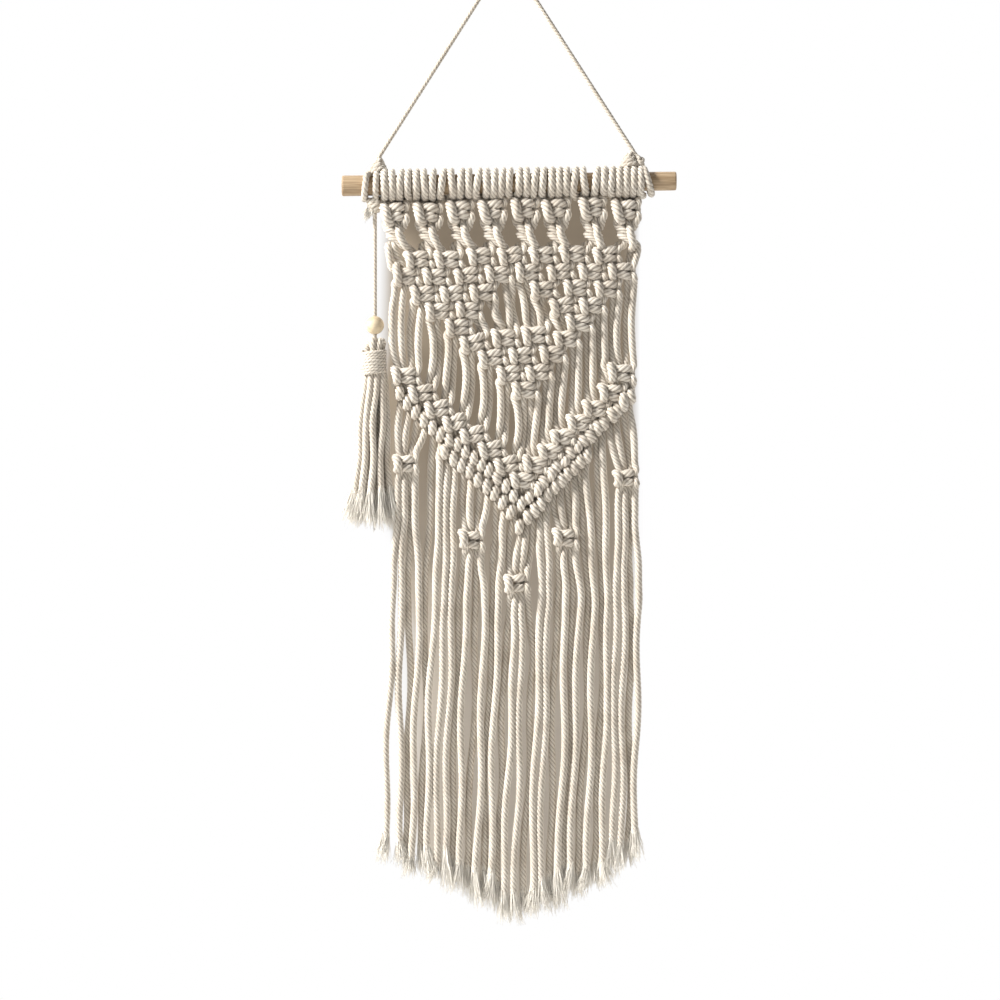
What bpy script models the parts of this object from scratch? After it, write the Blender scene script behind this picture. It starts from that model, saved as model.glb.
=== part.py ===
"""A macrame wall hanging: cotton cord knotted on a wooden dowel, with a hanging cord and a side tassel.

The origin is the top of the nail that the hanging cord passes over. X runs to the right as one looks at
the hanging, Y towards the wall and Z up. Tables and sizes are in millimetres, and MM turns them into
Blender's metres.
"""

from math import acos, atan2, cos, hypot, pi, sin

import bmesh
import bpy
from mathutils import Matrix, Vector

MM = 0.001
WELD = 0.000002  # metres: points nearer than this are one point
GAP = 0.3  # between separate pieces that touch on the real hanging

# The dowel: its two ends (x, z) and its radius there. It hangs a little lower on the left.
DOWEL_LEFT = (-123.1, -165.0)
DOWEL_RIGHT = (126.3, -161.3)
DOWEL_RADII = (7.7, 7.0)
DOWEL_SIDES = 32
DOWEL_EDGE = 0.8  # rounding of its cut ends

# The cord of the net and the solid strands made from it.
CORD = 5.0
STRAND_RADIUS = 2.3
STRANDS = 32
STRANDS_PER_KNOT = 4

# The lark's heads on the dowel are two ridged bars: left end, right end and number of turns.
HEADINGS = ((-94.6, 58.7, 25), (63.7, 102.1, 7))
HEADING_VALLEY = 3.4  # cord left at the valley between two turns
HEADING_SIDES = 8

# The eight heads under the dowel (x, z): a fat square knot, then a short twisted sinnet.
HEADS = (
    (-82.6, -185.5),
    (-57.8, -185.8),
    (-33.8, -183.8),
    (-9.8, -182.9),
    (14.5, -182.1),
    (37.6, -182.1),
    (64.9, -181.2),
    (89.8, -183.3),
)
HEAD_SCALE = (1.2, 1.25, 1.62)  # of a head to a plain square knot, along X, Y and Z
SINNET_FOOT = -212.5
SINNET_END = 4.0  # how far below its foot a sinnet still holds its four strands
SINNET_SWELL = (5.6, 4.6, 5.8, 4.4)  # radii from the head down to the foot
SINNET_SWAY = 1.1  # its loops stand out to the left

# Ridged bars of square knots. Each knot takes two of its four strands from the one before it, so a bar
# runs down to the right (step 2) or to the left (step -2). One row a bar: the first of the four strands
# in its top knot, counted from 1 at the left, the step, and the knots' x and z.
KNOT_BARS = (
    # The open lattice: its left edge, then three bars inside it.
    (
        1,
        2,
        (-74.1, -60.4, -49.4, -34.8, -23.6, -9.9, 3.7, 14.9),
        (-232.2, -245.4, -258.3, -270.0, -281.5, -292.6, -304.5, -316.6),
    ),
    (3, 2, (-64.6, -51.8, -38.9, -27.1), (-220.6, -232.9, -245.4, -258.0)),
    (7, 2, (-42.4, -27.8, -16.7), (-220.6, -231.8, -244.6)),
    (11, 2, (-18.4, -4.7), (-218.0, -230.9)),
    # Its right edge, then three bars inside it.
    (
        29,
        -2,
        (86.4, 76.1, 64.6, 55.2, 45.8, 35.5, 25.1),
        (-228.7, -242.0, -254.1, -267.0, -279.4, -290.0, -303.8),
    ),
    (27, -2, (75.3, 64.2, 53.0, 43.3), (-217.2, -229.2, -241.1, -254.1)),
    (23, -2, (51.3, 41.0, 28.2), (-216.5, -229.2, -242.0)),
    (19, -2, (28.2, 17.0), (-217.2, -229.2)),
    # Its middle: one knot at the top, three above the point.
    (15, 2, (4.5,), (-217.6,)),
    (13, 2, (-0.4, 12.3), (-278.9, -291.8)),
    (17, 2, (22.4,), (-276.4,)),
    # The wide V: its left arm down to the point, and its right arm.
    (
        1,
        2,
        (-74.2, -61.9, -50.0, -36.9, -23.9, -10.2, 1.9, 13.8),
        (-307.3, -319.4, -330.9, -341.5, -350.0, -361.4, -372.4, -384.3),
    ),
    (
        29,
        -2,
        (86.1, 80.0, 67.9, 55.7, 43.5, 34.3, 23.1),
        (-305.0, -320.2, -332.4, -342.3, -353.0, -363.2, -373.5),
    ),
)
# The single square knots down in the fringe: first strand, x and z.
SINGLE_KNOTS = (
    (1, -74.6, -372.4),
    (9, -25.4, -429.1),
    (15, 8.2, -461.2),
    (21, 44.8, -427.6),
    (29, 89.5, -382.8),
)

# A square knot is lofted from its left end to its right one. Its halves are measured from its middle.
KNOT_HALF_WIDTH = 9.0
KNOT_HALF_HEIGHT = 6.7
KNOT_FRONT = 6.0
KNOT_BACK = 2.2
KNOT_SECTIONS = (
    # along, height, ridges, groove between the ridges: shares of the halves above
    (-1.00, 0.74, 0.50, 0.62),
    (-0.55, 1.00, 1.00, 0.96),
    (-0.20, 0.94, 1.00, 0.35),
    (1.00, 0.84, 0.80, 0.30),
)
RIDGE_HEIGHT = 0.62  # of a ridge above the groove, as a share of the section's height
SLOT = 4.4  # between two strands where they enter or leave a knot
FOOT_SLOT = 2.4  # and where they leave a sinnet
LINK_RUN = 22.5  # knots nearer than this are joined by one link of two strands
PAIR_BAR = (4.3, 3.0)  # radius across and in depth of the bar for two strands
STRAND_BAR = (2.5, 2.6)
LINK_REACH = 0.4  # how far up or down from a knot's middle a link starts, in half heights

# The diagonal double half hitches under the wide V: the ridged bars' routes (x, z), from the outer end
# in. The upper row is as long as the V, the lower one shorter.
UPPER_LEFT = (
    (-79.8, -317.9),
    (-63.6, -339.3),
    (-39.5, -358.2),
    (-11.2, -379.1),
    (14.0, -405.0),
)
UPPER_RIGHT = ((91.5, -321.7), (70.1, -342.6), (47.0, -364.2), (14.0, -400.6))
LOWER_LEFT = ((-50.0, -362.0), (-27.6, -376.9), (-6.0, -397.0), (13.0, -421.0))
LOWER_RIGHT = ((65.6, -359.7), (42.9, -382.1), (12.0, -415.4))
HITCH_PITCH = 8.4  # from one hitch to the next along a bar
HITCH_RADII = (5.3, 3.9)  # on a hitch and between two

# The fringe, one row a strand from the left: x at the swing line, x at the tip, where the combed-out
# end starts, where it stops, and the layer it hangs in (-1 in front, 1 behind).
SWING_LINE = -473.9
FRINGE = (
    (-85.4, -90.4, -650.7, -669.3, -1),
    (-78.6, -82.0, -658.1, -670.8, 1),
    (-73.9, -75.6, -660.4, -673.8, -1),
    (-66.5, -69.6, -667.1, -679.0, 1),
    (-60.4, -63.2, -661.9, -676.8, -1),
    (-53.2, -57.9, -661.1, -679.8, 1),
    (-46.8, -51.6, -673.8, -682.7, -1),
    (-41.6, -45.8, -664.1, -690.2, 1),
    (-36.3, -40.0, -669.3, -686.5, -1),
    (-30.1, -34.4, -672.3, -690.2, 1),
    (-23.2, -28.5, -675.3, -696.2, -1),
    (-16.6, -22.9, -677.5, -701.4, 1),
    (-10.7, -17.2, -678.3, -699.9, -1),
    (-5.7, -11.6, -678.3, -702.1, 1),
    (0.1, -6.3, -686.5, -706.6, -1),
    (6.0, -0.6, -696.2, -713.8, 1),
    (12.1, 6.2, -697.7, -714.1, -1),
    (19.1, 13.1, -694.7, -708.8, 1),
    (25.2, 19.3, -693.9, -709.6, -1),
    (31.4, 25.4, -686.5, -705.1, 1),
    (37.4, 31.0, -681.2, -706.6, -1),
    (43.6, 36.6, -676.8, -701.4, 1),
    (49.4, 42.3, -675.3, -704.4, -1),
    (55.2, 48.2, -676.8, -693.9, 1),
    (60.7, 54.2, -679.0, -696.2, -1),
    (65.9, 60.1, -679.0, -691.7, 1),
    (71.0, 65.9, -673.8, -688.7, -1),
    (75.9, 71.7, -673.0, -686.5, 1),
    (81.2, 77.6, -655.1, -680.5, -1),
    (87.0, 83.5, -660.4, -674.5, 1),
    (92.4, 89.4, -656.6, -671.5, -1),
    (98.5, 95.3, -647.7, -666.3, 1),
)
LAYER = 1.5  # from the net's plane to each layer of the fringe
COMBED_RADIUS = 3.0  # widest half of a combed-out end
TIP_RADIUS = 1.1
ROOT_SQUEEZE = 0.93  # the strands leave the bars a little closer together than they hang

# The hanging cord: the nail's rounding, and its two ends (x, z) at the knots on the dowel.
HANGER = 3.1
HANGER_STEP = 8.6
NAIL_BEND = 6.6  # radius of the cord's middle line round the nail
BEND_STEPS = 6
HANGER_LEFT = (-96.0, -144.1)
HANGER_RIGHT = (93.6, -138.2)
# Its turns round the dowel: x and lean, and its lumps: middle (x, z) and halves along X, Y and Z.
TURN = 4.2
TURN_LEFT = ((-106.4, 0.0), (-98.1, 0.0))
TURN_RIGHT = ((106.4, 4.0),)
TURN_ROOM = 0.35  # a leaning turn stands this much further off the dowel
LUMPS_LEFT = (
    (-95.5, -148.2, 6.6, 4.2, 2.8),
    (-98.8, -180.1, 3.9, 3.9, 3.7),
)
LUMPS_RIGHT = ((93.2, -144.2, 4.2, 4.0, 4.6), (99.8, -146.0, 3.4, 3.5, 2.8))
TIES_LEFT = (
    ((-106.4, -154.0), (-99.0, -148.6)),
    ((-98.1, -154.2), (-96.4, -148.6)),
    ((-106.4, -174.6), (-100.0, -179.8)),
)
TIES_RIGHT = (((104.8, -151.4), (99.9, -146.2)), ((98.8, -146.0), (94.4, -144.4)))

# The side tassel, on the line x = TASSEL_X.
TASSEL_X = -98.6
TASSEL_CORD = 3.0
TASSEL_CORD_ENDS = (-184.1, -276.2)
BEAD_MIDDLE = -269.4 + 6.6 / 2
BEAD_RADIUS = 6.9
BEAD_BORE = 1.9
TASSEL_HEAD = (-283.6, 8.0, 6.4, 7.1)  # middle z and halves along X, Y and Z
WRAP_TOP = -289.6
WRAP_TURNS = 6
WRAP_PITCH = 2.5
WRAP_RADII = (8.5, 7.5)  # on a turn and between two
WRAP_DEPTH = 0.78  # of its width
WRAP_SIDES = 12
TASSEL_BEND = 0.45  # of the way down a strand, where its section turns
TASSEL_COMB = -392.5
TASSEL_TIP = -414.9
TASSEL_STRAND_RADIUS = 2.15
# One row a strand: x under the wrap, at the comb line and at the tip, all from the middle, and y under
# the wrap and at the tip. The right front one hangs before the fringe.
TASSEL_STRANDS = (
    (-6.2, -14.9, -19.6, -1.5, -1.5),
    (-3.4, -9.4, -12.6, -3.6, -3.6),
    (-0.4, -2.9, -4.4, -4.0, -4.2),
    (2.9, 4.1, 5.0, -3.7, -4.4),
    (5.9, 10.9, 15.8, -1.6, -9.0),
    (-4.6, -11.6, -15.4, 3.0, 3.4),
    (-1.4, -5.9, -8.2, 3.9, 4.0),
    (1.6, 0.9, 0.6, 4.1, 4.0),
    (4.6, 7.3, 9.6, 3.0, 2.4),
)

COLLECTION = "Macrame wall hanging"


def clear_scene():
    for item in list(bpy.data.objects):
        bpy.data.objects.remove(item)


def material(name, color, roughness):
    finish = bpy.data.materials.new(name)
    finish.use_nodes = True
    shader = finish.node_tree.nodes["Principled BSDF"]
    shader.inputs["Base Color"].default_value = (*color, 1.0)
    shader.inputs["Roughness"].default_value = roughness
    shader.inputs["Metallic"].default_value = 0.0
    return finish


def made_mesh(source, name):
    """Turn source, as its modifiers and bevel leave it, into a plain mesh object and remove it."""
    graph = bpy.context.evaluated_depsgraph_get()
    mesh = bpy.data.meshes.new_from_object(source.evaluated_get(graph))
    mesh.name = name
    shape = bmesh.new()
    shape.from_mesh(mesh)
    bmesh.ops.remove_doubles(shape, verts=shape.verts, dist=WELD)
    bmesh.ops.recalc_face_normals(shape, faces=shape.faces)
    shape.to_mesh(mesh)
    shape.free()
    piece = bpy.data.objects.new(name, mesh)
    piece.matrix_world = source.matrix_world.copy()
    bpy.data.objects.remove(source)
    bpy.context.scene.collection.objects.link(piece)
    return piece


def tube_curve(name, points, radii, detail=0):
    """A curve along points with a round bevel: 4 sides, and 2 more for each step of detail."""
    curve = bpy.data.curves.new(name, "CURVE")
    curve.dimensions = "3D"
    curve.bevel_depth = max(radii) * MM
    curve.bevel_resolution = detail
    curve.use_fill_caps = True
    line = curve.splines.new("POLY")
    line.points.add(len(points) - 1)
    for spot, place, radius in zip(line.points, points, radii):
        spot.co = (*(Vector(place) * MM), 1.0)
        spot.radius = radius / max(radii)
    piece = bpy.data.objects.new(name, curve)
    bpy.context.scene.collection.objects.link(piece)
    return piece


def tube(name, points, radii, detail=0):
    return made_mesh(tube_curve(name, points, radii, detail), name)


def loft(name, sections):
    """A closed mesh through sections, each a loop with the same number of points."""
    shape = bmesh.new()
    loops = [[shape.verts.new(Vector(p) * MM) for p in section] for section in sections]
    for one, other in zip(loops, loops[1:]):
        for i in range(len(one)):
            j = (i + 1) % len(one)
            shape.faces.new((one[i], one[j], other[j], other[i]))
    shape.faces.new(loops[0])
    shape.faces.new(loops[-1])
    bmesh.ops.recalc_face_normals(shape, faces=shape.faces)
    mesh = bpy.data.meshes.new(name)
    shape.to_mesh(mesh)
    shape.free()
    piece = bpy.data.objects.new(name, mesh)
    bpy.context.scene.collection.objects.link(piece)
    return piece


def lump(name, place, halves):
    """A knot's lump: a small sphere stretched to its three halves."""
    bpy.ops.mesh.primitive_uv_sphere_add(segments=10, ring_count=7, radius=1.0)
    piece = bpy.context.object
    piece.name = name
    stretch = Matrix.Diagonal((*(half * MM for half in halves), 1.0))
    piece.data.transform(Matrix.Translation(Vector(place) * MM) @ stretch)
    return piece


def fuse(name, pieces, finish):
    """Join overlapping pieces into one body named name."""
    operands = bpy.data.collections.new("Fused shapes")
    for piece in pieces[1:]:
        operands.objects.link(piece)
    join = pieces[0].modifiers.new("Join", "BOOLEAN")
    join.operation = "UNION"
    join.operand_type = "COLLECTION"
    join.collection = operands
    join.solver = "EXACT"
    body = made_mesh(pieces[0], name)
    for piece in pieces[1:]:
        bpy.data.objects.remove(piece)
    bpy.data.collections.remove(operands)
    return finished(body, name, finish)


def finished(piece, name, finish):
    """Name a finished piece, give it its material and put it in the hanging's collection alone."""
    piece.name = name
    piece.data.materials.clear()
    piece.data.materials.append(finish)
    for group in list(piece.users_collection):
        group.objects.unlink(piece)
    bpy.data.collections[COLLECTION].objects.link(piece)
    if piece.type == "MESH":
        piece.data.shade_smooth()
        piece.data.set_sharp_from_angle(angle=0.6)
    return piece


def dowel_middle(x):
    """The z of the dowel's middle line at x."""
    share = (x - DOWEL_LEFT[0]) / (DOWEL_RIGHT[0] - DOWEL_LEFT[0])
    return DOWEL_LEFT[1] + share * (DOWEL_RIGHT[1] - DOWEL_LEFT[1])


def dowel_radius(x):
    share = (x - DOWEL_LEFT[0]) / (DOWEL_RIGHT[0] - DOWEL_LEFT[0])
    return DOWEL_RADII[0] + share * (DOWEL_RADII[1] - DOWEL_RADII[0])


def dowel_turn():
    """The turn about Y that lays X along the dowel."""
    rise = DOWEL_RIGHT[1] - DOWEL_LEFT[1]
    return Matrix.Rotation(-atan2(rise, DOWEL_RIGHT[0] - DOWEL_LEFT[0]), 4, "Y")


def make_dowel(wood):
    length = hypot(DOWEL_RIGHT[0] - DOWEL_LEFT[0], DOWEL_RIGHT[1] - DOWEL_LEFT[1])
    middle = (DOWEL_LEFT[0] + DOWEL_RIGHT[0]) / 2
    bpy.ops.mesh.primitive_cone_add(
        vertices=DOWEL_SIDES,
        radius1=DOWEL_RADII[0] * MM,
        radius2=DOWEL_RADII[1] * MM,
        depth=length * MM,
    )
    dowel = bpy.context.object
    along = dowel_turn() @ Matrix.Rotation(pi / 2, 4, "Y")
    dowel.matrix_world = Matrix.Translation((middle * MM, 0, dowel_middle(middle) * MM)) @ along
    edge = dowel.modifiers.new("Rounded ends", "BEVEL")
    edge.width = DOWEL_EDGE * MM
    edge.segments = 1
    edge.limit_method = "ANGLE"
    return finished(dowel, "dowel", wood)


def turned(name, profile, axis, sides, place):
    """Turn a closed profile of (along, radius) about X or Z, then put it in place."""
    flip = axis == "X"
    mesh = bpy.data.meshes.new(name)
    corners = [(a * MM, 0, r * MM) if flip else (r * MM, 0, a * MM) for a, r in profile]
    edges = [(i, (i + 1) % len(corners)) for i in range(len(corners))]
    mesh.from_pydata(corners, edges, [])
    piece = bpy.data.objects.new(name, mesh)
    bpy.context.scene.collection.objects.link(piece)
    spin = piece.modifiers.new("Turn", "SCREW")
    spin.axis = axis
    spin.steps = sides
    spin.render_steps = sides
    spin.use_merge_vertices = True
    spin.merge_threshold = WELD
    piece.matrix_world = place
    return made_mesh(piece, name)


def heading_bar(left, right, turns):
    """A ridged bar of cord turns round the dowel, GAP off the wood."""
    middle = (left + right) / 2
    pitch = (right - left) / turns
    outer = []
    for i in range(2 * turns + 1):
        x = left + i * pitch / 2
        rise = CORD if i % 2 else HEADING_VALLEY
        outer.append((x - middle, dowel_radius(x) + GAP + rise))
    spread = 1 / cos(pi / HEADING_SIDES)  # the bore's flats, not its corners, clear the wood
    bore = [
        (right - middle, (dowel_radius(right) + GAP) * spread),
        (left - middle, (dowel_radius(left) + GAP) * spread),
    ]
    place = Matrix.Translation((middle * MM, 0, dowel_middle(middle) * MM)) @ dowel_turn()
    return turned("Heading", outer + bore, "X", HEADING_SIDES, place)


def square_knot(x, z, scale=(1.0, 1.0, 1.0)):
    """A left-facing square knot: one tall bump at its left, then two ridges with a slit between."""
    sections = []
    for along, height, ridge, groove in KNOT_SECTIONS:
        px = x + along * KNOT_HALF_WIDTH * scale[0]
        top = height * KNOT_HALF_HEIGHT * scale[2]
        front = KNOT_FRONT * scale[1]
        back = KNOT_BACK * scale[1] * height
        sections.append(
            (
                (px, back, z + top),
                (px, -front * ridge, z + top * RIDGE_HEIGHT),
                (px, -front * groove, z),
                (px, -front * ridge, z - top * RIDGE_HEIGHT),
                (px, back, z - top),
            )
        )
    return loft("Square knot", sections)


def sinnet(x, z):
    """The twisted half knots under a head, as a tube that swells at each loop."""
    top = z - KNOT_HALF_HEIGHT
    end = SINNET_FOOT - SINNET_END
    steps = len(SINNET_SWELL) - 1
    points = []
    for i in range(steps + 1):
        sway = -SINNET_SWAY if i % 2 else SINNET_SWAY / 2
        points.append((x + sway, 0, top + (end - top) * i / steps))
    return tube("Sinnet", points, SINNET_SWELL)


def bar(start, end, width, depth):
    """A straight bar with three sides, its ridge in front, for one strand or two side by side."""
    run = Vector(end) - Vector(start)
    shape = bmesh.new()
    bmesh.ops.create_cone(shape, cap_ends=True, segments=3, radius1=1, radius2=1, depth=1)
    stretch = Matrix.Diagonal((width * MM, -depth * MM, run.length * MM, 1.0))
    lean = Matrix.Rotation(atan2(-run.x, -run.z), 4, "Y")
    middle = Matrix.Translation((Vector(start) + run / 2) * MM)
    shape.transform(middle @ lean @ stretch)
    bmesh.ops.recalc_face_normals(shape, faces=shape.faces)
    mesh = bpy.data.meshes.new("Bar")
    shape.to_mesh(mesh)
    shape.free()
    piece = bpy.data.objects.new("Bar", mesh)
    bpy.context.scene.collection.objects.link(piece)
    return piece


def slot_x(strand, first, slot=SLOT):
    """How far from a knot's middle one of its four strands runs."""
    return (strand - first - (STRANDS_PER_KNOT - 1) / 2) * slot


def routes():
    """For each strand, the knots it passes from the top down: first strand, x, z and slot."""
    knots = [(1 + STRANDS_PER_KNOT * i, x, SINNET_FOOT, FOOT_SLOT) for i, (x, _) in enumerate(HEADS)]
    for first, step, middles, heights in KNOT_BARS:
        knots += [(first + step * i, x, z, SLOT) for i, (x, z) in enumerate(zip(middles, heights))]
    passed = {}
    for strand in range(1, STRANDS + 1):
        mine = [knot for knot in knots if knot[0] <= strand < knot[0] + STRANDS_PER_KNOT]
        passed[strand] = sorted(mine, key=lambda knot: -knot[2])
    return passed


def strands_between_knots():
    """Links where knots are near each other, single strands where they are far apart."""
    pieces = []
    linked = set()
    reach = LINK_REACH * KNOT_HALF_HEIGHT
    for strand, knots in routes().items():
        for upper, lower in zip(knots, knots[1:]):
            near = hypot(upper[1] - lower[1], upper[2] - lower[2]) < LINK_RUN
            pair = strand if strand % 2 else strand - 1
            middle = pair + 0.5 if near else strand
            if near and (pair, upper, lower) in linked:
                continue
            linked.add((pair, upper, lower))
            start = (upper[1] + slot_x(middle, upper[0], upper[3]), 0, upper[2] - reach)
            end = (lower[1] + slot_x(middle, lower[0], lower[3]), 0, lower[2] + reach)
            pieces.append(bar(start, end, *(PAIR_BAR if near else STRAND_BAR)))
    return pieces


def along_route(route, distance):
    """The point at a distance along a route of straight runs."""
    for (x0, z0), (x1, z1) in zip(route, route[1:]):
        run = hypot(x1 - x0, z1 - z0)
        if distance <= run:
            return x0 + (x1 - x0) * distance / run, z0 + (z1 - z0) * distance / run
        distance -= run
    return route[-1]


def hitch_bar(route):
    """A diagonal row of double half hitches, as a bar with four sides that swells at each one."""
    length = sum(hypot(b[0] - a[0], b[1] - a[1]) for a, b in zip(route, route[1:]))
    steps = 2 * round(length / HITCH_PITCH)
    across = Vector((route[0][1] - route[-1][1], 0, route[-1][0] - route[0][0])).normalized()
    sections = []
    for i in range(steps + 1):
        x, z = along_route(route, length * i / steps)
        radius = HITCH_RADII[(i + 1) % 2]
        middle = Vector((x, 0, z))
        front = Vector((0, -radius, 0))
        sections.append(
            (middle + front, middle + across * radius, middle - front, middle - across * radius)
        )
    return loft("Hitches", sections)


def bar_height(x):
    """The z of the lowest hitch bar over x, where a fringe strand starts."""
    heights = []
    for route in (UPPER_LEFT, UPPER_RIGHT, LOWER_LEFT, LOWER_RIGHT):
        for (x0, z0), (x1, z1) in zip(route, route[1:]):
            if min(x0, x1) <= x <= max(x0, x1):
                heights.append(z0 + (z1 - z0) * (x - x0) / (x1 - x0))
    return min(heights)


def fringe_strand(strand, swing_x, tip_x, comb, tip, layer):
    """A fringe strand from its hitch to its combed-out end."""
    root_x = swing_x * ROOT_SQUEEZE
    root_x = max(UPPER_LEFT[0][0] + 1, min(UPPER_RIGHT[0][0] - 1, root_x))
    depth = layer * LAYER
    points = [(root_x, depth * 0.5, bar_height(root_x))]
    for first, x, z in SINGLE_KNOTS:
        if first <= strand < first + STRANDS_PER_KNOT:
            points.append((x + slot_x(strand, first), depth * 0.5, z))
    points += [
        (swing_x, depth, SWING_LINE - 40),
        (tip_x, depth, comb),
        (tip_x, depth, comb + (tip - comb) * 0.6),
        (tip_x, depth, tip),
    ]
    radii = [STRAND_RADIUS] * (len(points) - 2) + [COMBED_RADIUS, TIP_RADIUS]
    sections = []
    for (x, y, z), radius in zip(points, radii):
        sections.append(
            ((x, y - radius, z), (x + radius, y + radius * 0.7, z), (x - radius, y + radius * 0.7, z))
        )
    return loft("Fringe strand", sections)


def make_net(cotton):
    """The whole knotted net with its fringe, one body."""
    pieces = [heading_bar(*row) for row in HEADINGS]
    for x, z in HEADS:
        pieces.append(square_knot(x, z, HEAD_SCALE))
        pieces.append(sinnet(x, z))
    for _, _, middles, heights in KNOT_BARS:
        pieces += [square_knot(x, z) for x, z in zip(middles, heights)]
    pieces += [square_knot(x, z) for _, x, z in SINGLE_KNOTS]
    pieces += strands_between_knots()
    pieces += [hitch_bar(route) for route in (UPPER_LEFT, UPPER_RIGHT, LOWER_LEFT, LOWER_RIGHT)]
    pieces += [fringe_strand(i + 1, *row) for i, row in enumerate(FRINGE)]
    return fuse("knotted_net", pieces, cotton)


def hanger_route():
    """The hanging cord's middle line: up from the left knot, round the nail, down to the right one."""
    middle = Vector((0, 0, HANGER / 2 - NAIL_BEND))
    left = Vector((HANGER_LEFT[0], 0, HANGER_LEFT[1]))
    right = Vector((HANGER_RIGHT[0], 0, HANGER_RIGHT[1]))
    turns = []
    for foot in (left, right):
        away = foot - middle
        turns.append(pi - atan2(abs(away.x), -away.z) - acos(NAIL_BEND / away.length))
    bend = []
    for i in range(BEND_STEPS + 1):
        angle = -turns[0] + sum(turns) * i / BEND_STEPS
        bend.append(middle + NAIL_BEND * Vector((sin(angle), 0, cos(angle))))
    up = round((bend[0] - left).length / HANGER_STEP)
    down = round((right - bend[-1]).length / HANGER_STEP)
    points = [left.lerp(bend[0], i / up) for i in range(up)]
    points += bend
    return points + [bend[-1].lerp(right, i / down) for i in range(1, down + 1)]


def make_hanger(cotton):
    route = hanger_route()
    cord = tube_curve("hanger_cord", route, [HANGER / 2] * len(route), 2)
    finished(cord, "hanger_cord", cotton)
    for name, turns, lumps, ties in (
        ("hanger_knot_left", TURN_LEFT, LUMPS_LEFT, TIES_LEFT),
        ("hanger_knot_right", TURN_RIGHT, LUMPS_RIGHT, TIES_RIGHT),
    ):
        pieces = [dowel_ring(x, lean) for x, lean in turns]
        pieces += [lump("Lump", (x, 0, z), halves) for x, z, *halves in lumps]
        for (x0, z0), (x1, z1) in ties:
            pieces.append(tube("Tie", [(x0, 0, z0), (x1, 0, z1)], [TURN / 2] * 2, 1))
        fuse(name, pieces, cotton)


def dowel_ring(x, lean):
    """One turn of the hanging cord round the dowel."""
    radius = (dowel_radius(x) + GAP) / cos(pi / 16) + TURN / 2
    if lean:
        radius += TURN_ROOM
    bpy.ops.mesh.primitive_torus_add(
        major_segments=16,
        minor_segments=6,
        major_radius=radius * MM,
        minor_radius=TURN / 2 * MM,
    )
    ring = bpy.context.object
    upright = Matrix.Rotation(pi / 2, 4, "Y")
    tilt = Matrix.Rotation(-lean * pi / 180, 4, "Y")
    ring.data.transform(
        Matrix.Translation((x * MM, 0, dowel_middle(x) * MM)) @ tilt @ dowel_turn() @ upright
    )
    return ring


def make_bead(wood):
    """The bead: a turned ball with a bore for the tassel's cord."""
    start = BEAD_BORE / BEAD_RADIUS
    steps = 10
    first = pi / 2 - start
    outer = []
    for i in range(steps + 1):
        angle = first - 2 * first * i / steps
        outer.append((BEAD_RADIUS * sin(angle), BEAD_RADIUS * cos(angle)))
    place = Matrix.Translation((TASSEL_X * MM, 0, BEAD_MIDDLE * MM))
    return finished(turned("Bead", outer, "Z", 16, place), "tassel_bead", wood)


def make_tassel(cotton):
    """The tassel: a looped head, a wrap of thin cord and nine strands with combed-out ends."""
    middle, wide, deep, high = TASSEL_HEAD
    head = lump("Tassel head", (TASSEL_X, 0, middle), (wide, deep, high))
    foot = WRAP_TOP - WRAP_TURNS * WRAP_PITCH
    rings = 2 * WRAP_TURNS
    profile = []
    for i in range(rings + 1):
        profile.append((WRAP_TOP + (foot - WRAP_TOP) * i / rings, WRAP_RADII[(i + 1) % 2]))
    sections = []
    for z, radius in profile:
        turn = [2 * pi * (i + 0.5) / WRAP_SIDES for i in range(WRAP_SIDES)]
        sections.append(
            [(TASSEL_X + radius * cos(a), radius * WRAP_DEPTH * sin(a), z) for a in turn]
        )
    pieces = [head, loft("Wrap", sections)]
    for root_x, comb_x, tip_x, root_y, tip_y in TASSEL_STRANDS:
        root = Vector((TASSEL_X + root_x, root_y, foot + WRAP_PITCH))
        comb = Vector((TASSEL_X + comb_x, (root_y + tip_y) / 2, TASSEL_COMB))
        tip = Vector((TASSEL_X + tip_x, tip_y, TASSEL_TIP))
        bend = root.lerp(comb, TASSEL_BEND)
        points = [root, bend, comb, comb.lerp(tip, 0.5), tip]
        radii = [TASSEL_STRAND_RADIUS] * 3 + [COMBED_RADIUS * 0.9, TIP_RADIUS]
        pieces.append(tube("Tassel strand", points, radii))
    return fuse("tassel", pieces, cotton)


def make_tassel_cord(cotton):
    top, bottom = TASSEL_CORD_ENDS
    count = round((top - bottom) / HANGER_STEP)
    points = [(TASSEL_X, 0, top + (bottom - top) * i / count) for i in range(count + 1)]
    cord = tube_curve("tassel_cord", points, [TASSEL_CORD / 2] * len(points), 2)
    return finished(cord, "tassel_cord", cotton)


def main():
    clear_scene()
    bpy.context.scene.collection.children.link(bpy.data.collections.new(COLLECTION))
    wood = material("Pine", (0.60, 0.47, 0.33), 0.6)
    cotton = material("Cotton cord", (0.80, 0.75, 0.66), 0.9)
    make_dowel(wood)
    make_net(cotton)
    make_hanger(cotton)
    make_tassel_cord(cotton)
    make_bead(wood)
    make_tassel(cotton)


main()
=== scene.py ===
"""A macrame wall hanging: cotton cord knotted on a pine dowel, its hanging cord and a side tassel.

Sizes and tables are in millimetres and MM turns them into metres. X runs to the right, Y towards the
wall and Z up from the top of the nail that the hanging cord passes over.
"""

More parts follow.
